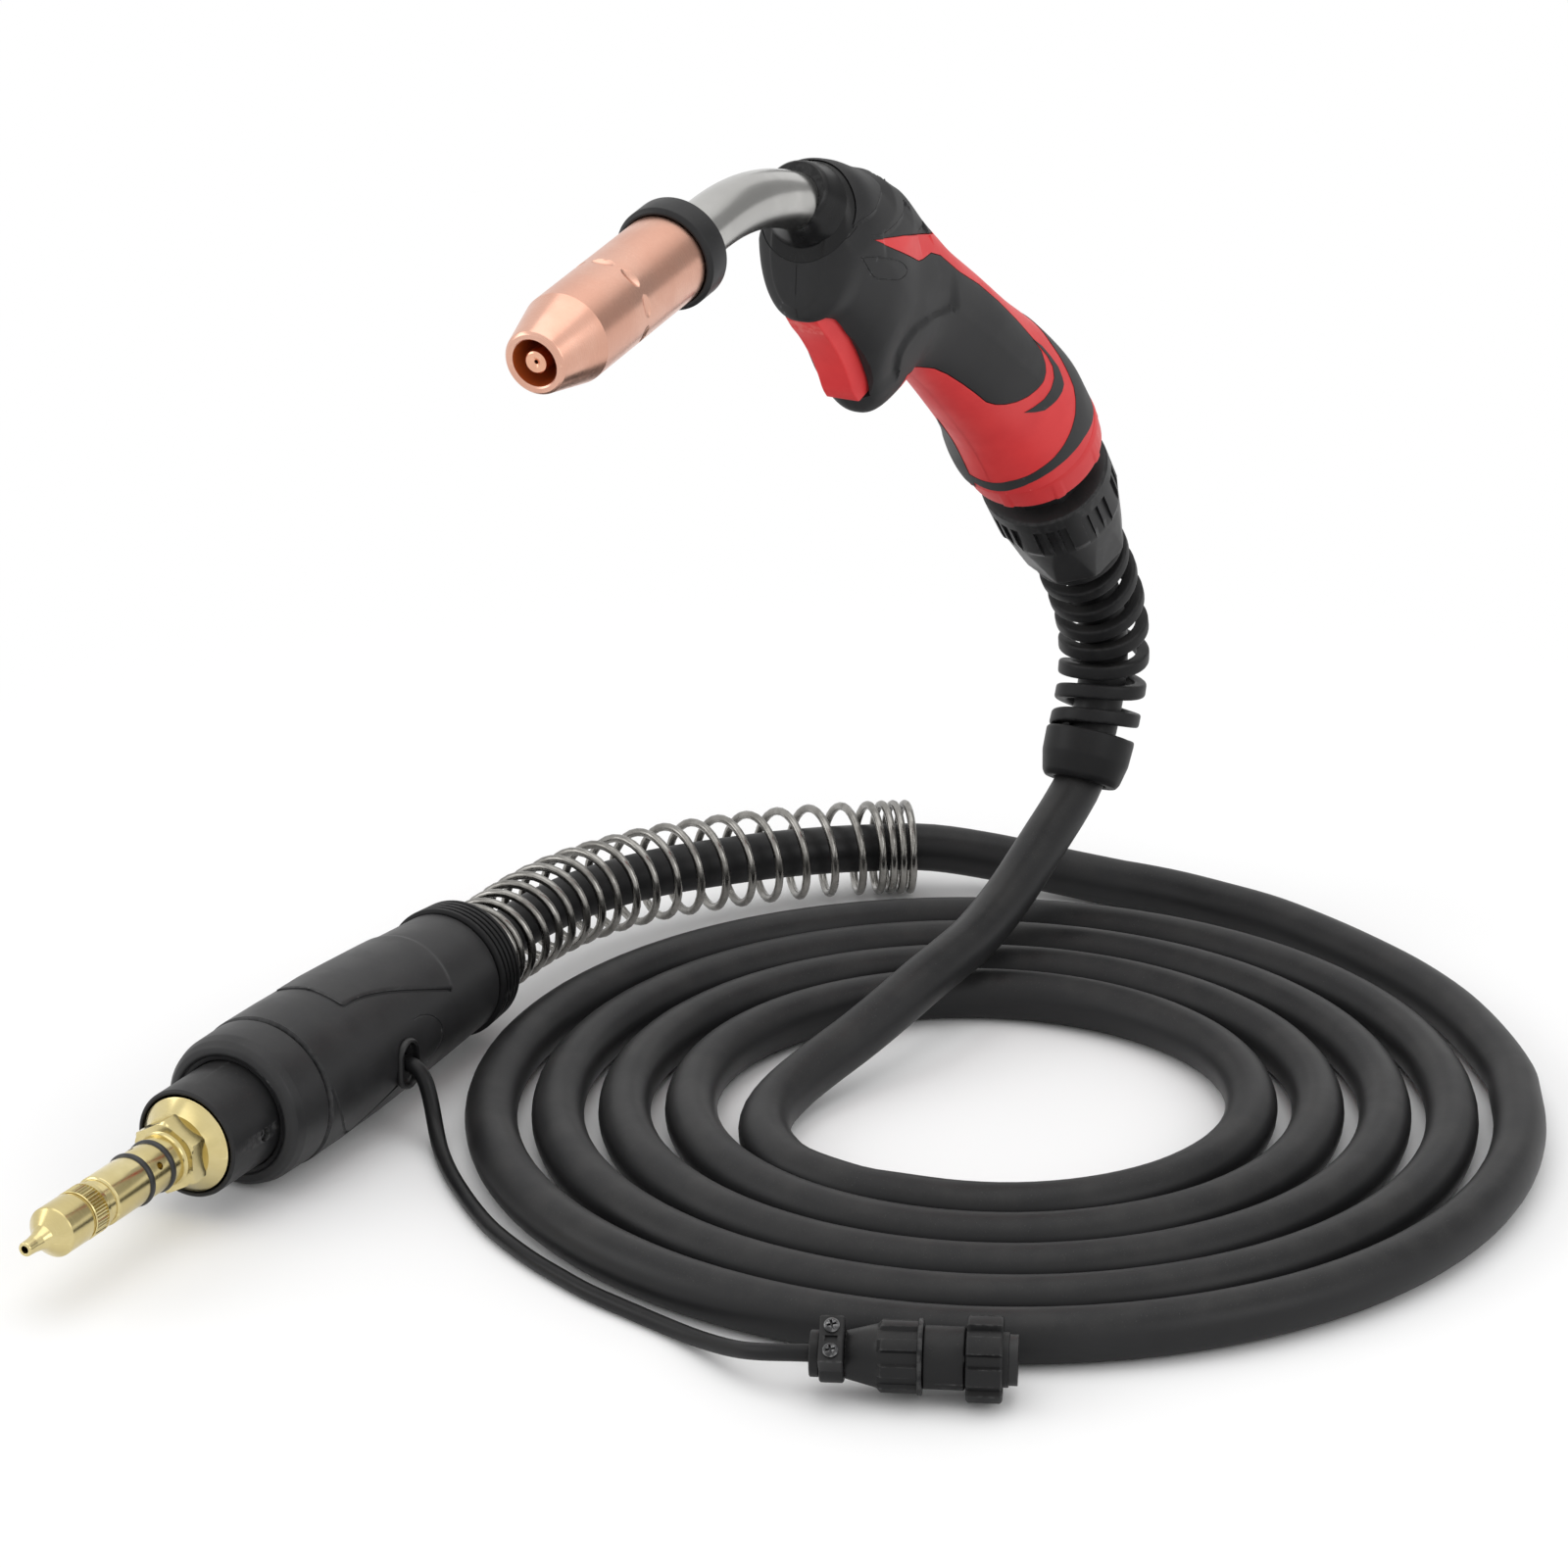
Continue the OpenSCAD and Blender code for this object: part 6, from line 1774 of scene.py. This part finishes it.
@dataclass
class PowerPin:
    """The brass pin: flange, hexagon, barrel with two O-rings, and knurled nose."""

    paint: Paint
    ring_at: tuple[float, float] = (19.0, 30.5)
    ring_radius: float = 8.0
    ring_half: tuple[float, float] = (1.4, 1.05)
    groove_half: float = 1.15
    hole_at: float = 24.75
    teeth: int = 48
    knurl_depth: float = 0.6

    @staticmethod
    def flats(s: Array, r: Array, angle: Array) -> Array:
        """Six flats on the hexagon's stretch of the profile."""
        fold = angle % (math.pi / 3) - math.pi / 6
        return np.where((s > 5.05) & (s < 12.4) & (r > 9), np.minimum(r, 11.0 / np.cos(fold)) - r, 0.0)

    def knurl(self, s: Array, r: Array, angle: Array) -> Array:
        """Straight knurl: a pointed wave on one band."""
        wave = np.abs((angle * self.teeth / (2 * math.pi)) % 1 - 0.5) * 2
        return np.where((s > 54.4) & (s < 60.6) & (r > 8.2), -self.knurl_depth * wave, 0.0)

    def make(self) -> list[str]:
        """Builds the pin's pieces.

        Returns:
            Their names.
        """
        outline = [[-1.4, 1.2], [-1.4, 15.4], [-0.9, 16.2], [0, 16.3], [0.4, 15.9], [5.0, 12.0], [5.1, 12.7],
                   [11.4, 12.7], [12.3, 11.5], [12.3, 9.2], [13.0, 8.6], [13.6, 8.4]]
        for s in self.ring_at:
            front, back = s - self.groove_half, s + self.groove_half
            outline += [[front, 8.4], [front, 7.1], [back, 7.1], [back, 8.4]]
        outline += [[48.4, 8.4], [49, 7.8], [49, 7.5], [52.2, 7.5], [52.2, 1.2]]
        barrel = turned("power_pin_barrel", PIN, filleted(outline, 0.18), 144, relief=self.flats, crease=24)
        for k in range(4):
            turn = math.radians(30 + 90 * k)
            base = PIN.point(self.hole_at, 5.0, turn)
            along = unit(PIN.point(self.hole_at, 12.0, turn) - base)
            bored(barrel, Place(tuple(base), tuple(along), (1.0, 0.0, 0.0)), [[0, 1.3], [7, 1.3]], sides=32,
                  crease=24)
        fit(self.paint, barrel, "lead", BRASS, "pin_brass", "power_pin")
        turn = np.linspace(0, 2 * math.pi, 20, endpoint=False)
        long, high = self.ring_half
        rings = []
        for s in self.ring_at:
            section = np.stack([s - long * np.cos(turn), self.ring_radius + high * np.sin(turn)], axis=1)
            rings.append(turned("o_ring", PIN, section, 96))
        pair = fit(self.paint, joined("pin_o_ring_pair", rings), "lead", O_RING, "o_ring_rubber",
                   "pin_o_rings")
        nose = [[52.4, 1.2], [52.4, 7.9], [53, 8.4], [54.3, 8.4], [54.5, 8.5], [60.5, 8.5], [60.7, 8.4],
                [61, 8.3], [61, 7.7], [62.2, 7.7], [62.2, 8.2], [62.5, 8.35], [73.2, 8.35], [73.7, 8.0],
                [78, 4.2], [79.2, 3.6], [81, 2.95], [83.5, 2.55], [87.1, 2.35], [87.5, 2.1], [87.5, 1.3],
                [87.1, 1.2]]
        tip = turned("pin_nose_brass", PIN, filleted(nose, 0.16), 7 * self.teeth, relief=self.knurl,
                     crease=24)
        fit(self.paint, tip, "lead", BRASS, "pin_brass", "pin_nose")
        return [barrel.name, pair.name, tip.name]


# ------------------------------------------------------------------ control plug


@dataclass
class ControlPlug:
    """The round plug: cap, clamp with two screws, ribbed backshell, barrel, coupling ring and insert."""

    paint: Paint
    clamp_turn: float = math.radians(38)

    def saddle(self, s: Array, r: Array, angle: Array) -> Array:
        """The clamp's section: a circle with a flat block on one side.

        Args:
            s: distance along the axis; not used.
            r: radius of the plain profile.
            angle: angle round the axis.

        Returns:
            What is added to the radius.
        """
        off = np.abs((angle - self.clamp_turn + math.pi) % (2 * math.pi) - math.pi)
        top = 10.9 / np.maximum(np.cos(off), 0.2)
        flank = 7.7 / np.maximum(np.sin(off), 0.2)
        block = np.where(off < math.radians(80), np.minimum(top, flank), 0)
        return np.where(r > 7.9, np.maximum(block, 8.6) - 8.6, 0.0)

    @staticmethod
    def ribs(s: Array, r: Array, angle: Array) -> Array:
        """Eight rounded ribs on the backshell, with sloping front ends.

        Args:
            s: distance along the axis.
            r: radius of the plain profile.
            angle: angle round the axis.

        Returns:
            What is added to the radius.
        """
        across = np.abs((angle + math.pi / 8) % (math.pi / 4) - math.pi / 8) * 10.4
        shape = smooth((2.35 - across) / 0.7) * smooth((s - 20.4) / 1.4)
        return np.where((r > 9.4) & (s > 20.4) & (s < 32.5), np.maximum(r, 9.9 + 1.25 * shape) - r, 0.0)

    @staticmethod
    def grips(s: Array, r: Array, angle: Array) -> Array:
        """Eight slots across the coupling ring."""
        across = np.abs(angle % (math.pi / 4) - math.pi / 8) * 12.6
        return np.where(r > 12.0, -1.75 * smooth((2.05 - across) / 0.35), 0.0)

    def screw(self, base: Array, up: Array) -> tuple[Piece, Place]:
        """A round screw head with a cross in it.

        Args:
            base: where the screw goes in.
            up: direction out of the clamp.

        Returns:
            The screw and the frame of its axis.
        """
        place = Place(tuple(base + 0.45 * up), tuple(up), PLUG.along)
        profile = [[-3, 0.001], [-3, 1.4], [0.25, 1.4], [0.25, 2.3], [0.9, 2.35], [1.25, 1.9], [1.45, 1.2],
                   [1.5, 0.001]]
        head = turned("screw", place, profile, 48, hollow=False)
        for turn in (0.25, 0.25 + math.pi / 2):
            a = np.cos(turn) * np.array(place.side) + np.sin(turn) * np.cross(place.along, place.side)
            axes = (a, np.cross(place.along, a), up)
            carve(head, brick("cross", base + 1.575 * up, axes, (1.45, 0.34, 0.825)))
        return head, place

    def clamp(self) -> list[Piece]:
        """Builds the cable clamp with its window and its two screws.

        Returns:
            The clamp and the pair of screws.
        """
        profile = [[3.1, 6.4], [3.1, 8.1], [3.6, 8.6], [10.1, 8.6], [10.6, 8.1], [10.6, 6.4]]
        clamp = turned("plug_cable_clamp", PLUG, profile, 216, 0.25, relief=self.saddle, crease=28)
        along = np.array(PLUG.along)
        up = PLUG.point(0, 1, self.clamp_turn) - np.array(PLUG.at)
        across = np.cross(along, up)
        middle = np.array(PLUG.at) + 6.85 * along
        heads = []
        for k in (-1, 1):
            head, place = self.screw(middle + across * 4.1 * k + up * 10.3, up)
            bored(clamp, place, [[0.2, 2.5], [3, 2.5]], sides=40)
            heads.append(head)
        carve(clamp, brick("window", middle + 11 * up, (along, across, up), (1.9, 1.0, 1.0)))
        fit(self.paint, clamp, "lead", PLUG_BLACK, "nylon_black", "plug_clamp")
        pair = joined("plug_clamp_screw_pair", heads)
        return [clamp, fit(self.paint, pair, "lead", BLACKED, "bright_steel", "plug_clamp_screws")]

    def make(self) -> list[str]:
        """Builds the plug's pieces.

        Returns:
            Their names.
        """
        cup = [[0, 2.75], [0, 6.7], [0.4, 7.1], [2.9, 7.1], [2.9, 2.75]]
        cap = turned("plug_cap_nut", PLUG, cup, 72, 0.3)
        fit(self.paint, cap, "lead", PLUG_BLACK, "nylon_black", "plug_cap")
        clamp, screws = self.clamp()
        back = [[10.8, 6.4], [10.8, 7.1]]
        back += [[s, 7.2 + (s - 10.8) * 0.255] for s in np.linspace(11.3, 20.2, 6)]
        back += [[s, 9.9] for s in np.linspace(20.6, 32.3, 22)]
        back += [[32.45, 9.9], [32.5, 11.3], [32.8, 11.6], [33.7, 11.6], [34, 11.3], [34, 6.4]]
        shell = turned("plug_backshell_body", PLUG, back, 192, relief=self.ribs)
        fit(self.paint, shell, "lead", PLUG_BLACK, "nylon_black", "plug_backshell")
        body = [[34.1, 6.4], [34.1, 9.2], [34.5, 9.55], [46.3, 9.55], [46.8, 9.2], [46.8, 8.3], [59.8, 8.3],
                [59.8, 6.4]]
        barrel = turned("plug_barrel_body", PLUG, body, 96, 0.2)
        fit(self.paint, barrel, "lead", PLUG_BLACK, "nylon_black", "plug_barrel")
        coupling = [[47.1, 8.4], [47.1, 12.5], [47.8, 13.15], [57.4, 13.15], [58.0, 12.6], [58.0, 10.4],
                    [49.2, 10.4], [49.2, 8.4]]
        ring = turned("plug_coupling_ring", PLUG, coupling, 256, 0.3, relief=self.grips)
        fit(self.paint, ring, "coupling", PLUG_BLACK, "nylon_black", "plug_coupling")
        return [k.name for k in (cap, clamp, shell, barrel, ring, screws)]


# ------------------------------------------------------------------ what stays from the frame


INNER_FINISHES = {"gas_diffuser": INNER_BRASS, "neck_insulation": INSULATION, "neck_conductor": TIP,
                  "neck_clamp": NYLON, "socket_ring": NYLON, "shell_screws": BRIGHT, "trigger_pin": BRIGHT,
                  "trigger_spring": SPRING, "micro_switch": SWITCH, "switch_button": INSULATION,
                  "front_terminal": INNER_BRASS, "handle_cable": JACKET_PLAIN, "swivel_ball": NYLON,
                  "gland_spigot": NYLON, "spigot_clip": SPRING, "rear_terminal": INNER_BRASS,
                  "plug_insert": GROMMET, "plug_contacts": INNER_BRASS}


@dataclass
class InnerParts:
    """Solids of the frame that stay as they are, with their finishes."""

    paint: Paint
    finishes: dict[str, Finish] = field(default_factory=lambda: dict(INNER_FINISHES))

    def make(self) -> None:
        """Puts the finishes on the solids that still show."""
        for name, finish in self.finishes.items():
            self.paint.cover(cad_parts[name], finish)
            LOG.info("%s: kept, %s", name, finish.name)


# ------------------------------------------------------------------ studio


@dataclass
class Studio:
    """Camera, floor, lamps and surroundings."""

    lens: float = 119.06
    eye: tuple[float, float, float] = (-1430.48, -683.36, 724.35)
    right: tuple[float, float, float] = (0.46947, -0.88295, 0.0)
    up: tuple[float, float, float] = (0.31345, 0.16666, 0.93484)
    middle: tuple[float, float, float] = (0.0, 20.0, 0.0)

    def camera(self) -> None:
        """Sets up the camera from its position and axes."""
        data = bpy.data.cameras.new("view")
        data.lens, data.sensor_width, data.sensor_fit = self.lens, 36.0, "HORIZONTAL"
        data.clip_start, data.clip_end = 0.05, 60.0
        camera = bpy.data.objects.new("view", data)
        x, y = Vector(self.right), Vector(self.up)
        z = x.cross(y)
        turn = Matrix((x, y, z)).transposed().to_4x4()
        camera.matrix_world = Matrix.Translation([k * MM for k in self.eye]) @ turn
        bpy.context.scene.collection.objects.link(camera)
        bpy.context.scene.camera = camera

    def lamp(self, name: str, at: Sequence[float], towards: Sequence[float], size: Sequence[float],
             power: float) -> None:
        """A soft rectangular lamp.

        Args:
            name: the lamp's name.
            at: its place in metres.
            towards: a point that it faces, in metres.
            size: its width and height in metres.
            power: its power in watts.
        """
        data = bpy.data.lights.new(name, "AREA")
        data.shape, data.size, data.size_y, data.energy = "RECTANGLE", size[0], size[1], power
        lamp = bpy.data.objects.new(name, data)
        way = Vector(towards) - Vector(at)
        lamp.rotation_euler = way.to_track_quat("-Z", "Y").to_euler()
        lamp.location = at
        bpy.context.scene.collection.objects.link(lamp)

    def floor(self) -> None:
        """Pale floor that turns to plain white away from the object for the camera and for reflections."""
        reach = np.linspace(-7000, 7000, 15)
        x, y = np.meshgrid(reach, reach, indexing="ij")
        grid = np.stack([x, y, np.full_like(x, -0.05)], axis=-1)
        piece = build("floor", grid.reshape(-1, 3), [band_faces(15, 15, False, False)[:, ::-1]])
        if piece.data.polygons[0].normal.z < 0:
            piece.data.flip_normals()
        material = bpy.data.materials.new("Pale floor")
        s = emptied(material)
        at = s.add("ShaderNodeTexCoord").outputs["Object"]
        away = s.vector("LENGTH", s.vector("SUBTRACT", at, [k * MM for k in self.middle]))
        far = s.step(away, 0.26, 0.62)
        seen = self.seen(s)
        tone = s.blend(s.noise(at, 3.0, 2, 0.5), (0.90, 0.90, 0.90, 1), (0.92, 0.92, 0.92, 1))
        matt = s.add("ShaderNodeBsdfDiffuse", {"Color": tone})
        glow = s.add("ShaderNodeEmission", {"Color": (1, 1, 1, 1), "Strength": 1.0})
        mixed = s.add("ShaderNodeMixShader", {0: s.math("MULTIPLY", far, seen), 1: matt.outputs[0],
                                              2: glow.outputs[0]})
        s.add("ShaderNodeOutputMaterial", {"Surface": mixed.outputs[0]})
        piece.data.materials.append(material)

    @staticmethod
    def seen(s: Shade) -> Socket:
        """1 on rays from the camera, a reflection or a clear body, and 0 on the light's own rays.

        Args:
            s: builder of the material or world.

        Returns:
            The value.
        """
        path = s.add("ShaderNodeLightPath")
        seen = s.math("MAXIMUM", path.outputs["Is Camera Ray"], path.outputs["Is Glossy Ray"])
        return s.math("MAXIMUM", seen, path.outputs["Is Transmission Ray"])

    def sky(self) -> None:
        """Even light from all round, white where the camera or a reflection sees it."""
        world = bpy.data.worlds.new("Studio")
        s = emptied(world)
        seen = self.seen(s)
        strength = s.step(seen, 0.0, 1.0, 0.85, 1.0)
        back = s.add("ShaderNodeBackground", {"Color": (1, 1, 1, 1), "Strength": strength})
        s.add("ShaderNodeOutputWorld", {"Surface": back.outputs[0]})
        bpy.context.scene.world = world

    def card(self, name: str, ends: Outline, levels: Sequence[float], tone: float) -> None:
        """An upright grey card that only reflections see, which gives metal its darker streaks.

        Args:
            name: the card's name.
            ends: [x, y] of its two sides in millimetres.
            levels: heights of its lower and upper edge in millimetres.
            tone: how light it is, from 0 to 1.
        """
        (first, last), (low, top) = ends, levels
        corners = [(*first, low), (*last, low), (*last, top), (*first, top)]
        piece = build(name, np.array(corners, float), [np.array([[0, 1, 2, 3]])])
        material = bpy.data.materials.new(name)
        s = emptied(material)
        glow = s.add("ShaderNodeEmission", {"Color": (tone, tone, tone, 1), "Strength": 1.0})
        s.add("ShaderNodeOutputMaterial", {"Surface": glow.outputs[0]})
        piece.data.materials.append(material)
        for ray in ("camera", "diffuse", "shadow", "transmission"):
            setattr(piece, "visible_" + ray, False)

    def make(self) -> None:
        """Builds the surroundings."""
        self.camera()
        self.sky()
        self.floor()
        self.lamp("overhead", (0.0, 0.1, 1.6), (0.0, 0.1, 0.0), (1.6, 1.6), 7.0)
        self.lamp("left", (-0.9, 1.4, 0.9), (0.0, 0.0, 0.15), (1.0, 0.8), 4.5)
        self.lamp("right", (-0.3, -1.5, 0.9), (0.0, 0.0, 0.15), (1.0, 0.8), 4.0)
        self.card("grey_card_right", ((2000, -150), (1250, -2000)), (430, 1750), 0.42)
        self.card("grey_card_left", ((1900, 900), (2050, 700)), (250, 900), 0.30)
        bpy.context.scene.view_settings.view_transform = "Standard"


def main() -> None:
    """Builds the studio, then the cords with what is on them, then the torch."""
    logging.basicConfig(level=logging.INFO, format="%(message)s")
    studio = Studio()
    studio.make()
    paint = Paint()
    on_lead = RearConnector(paint).make() + PowerPin(paint).make()
    PowerCable(paint).make(on_lead + ["rear_terminal"])
    ControlLead(paint).make(ControlPlug(paint).make() + ["plug_insert", "plug_contacts"])
    Gland(paint).make()
    NozzleEnd(paint).make()
    neck = Neck(paint)
    neck.make()
    TriggerPiece(paint).make()
    Grip(paint).make(neck)
    InnerParts(paint).make()


if __name__ == "__main__":
    main()
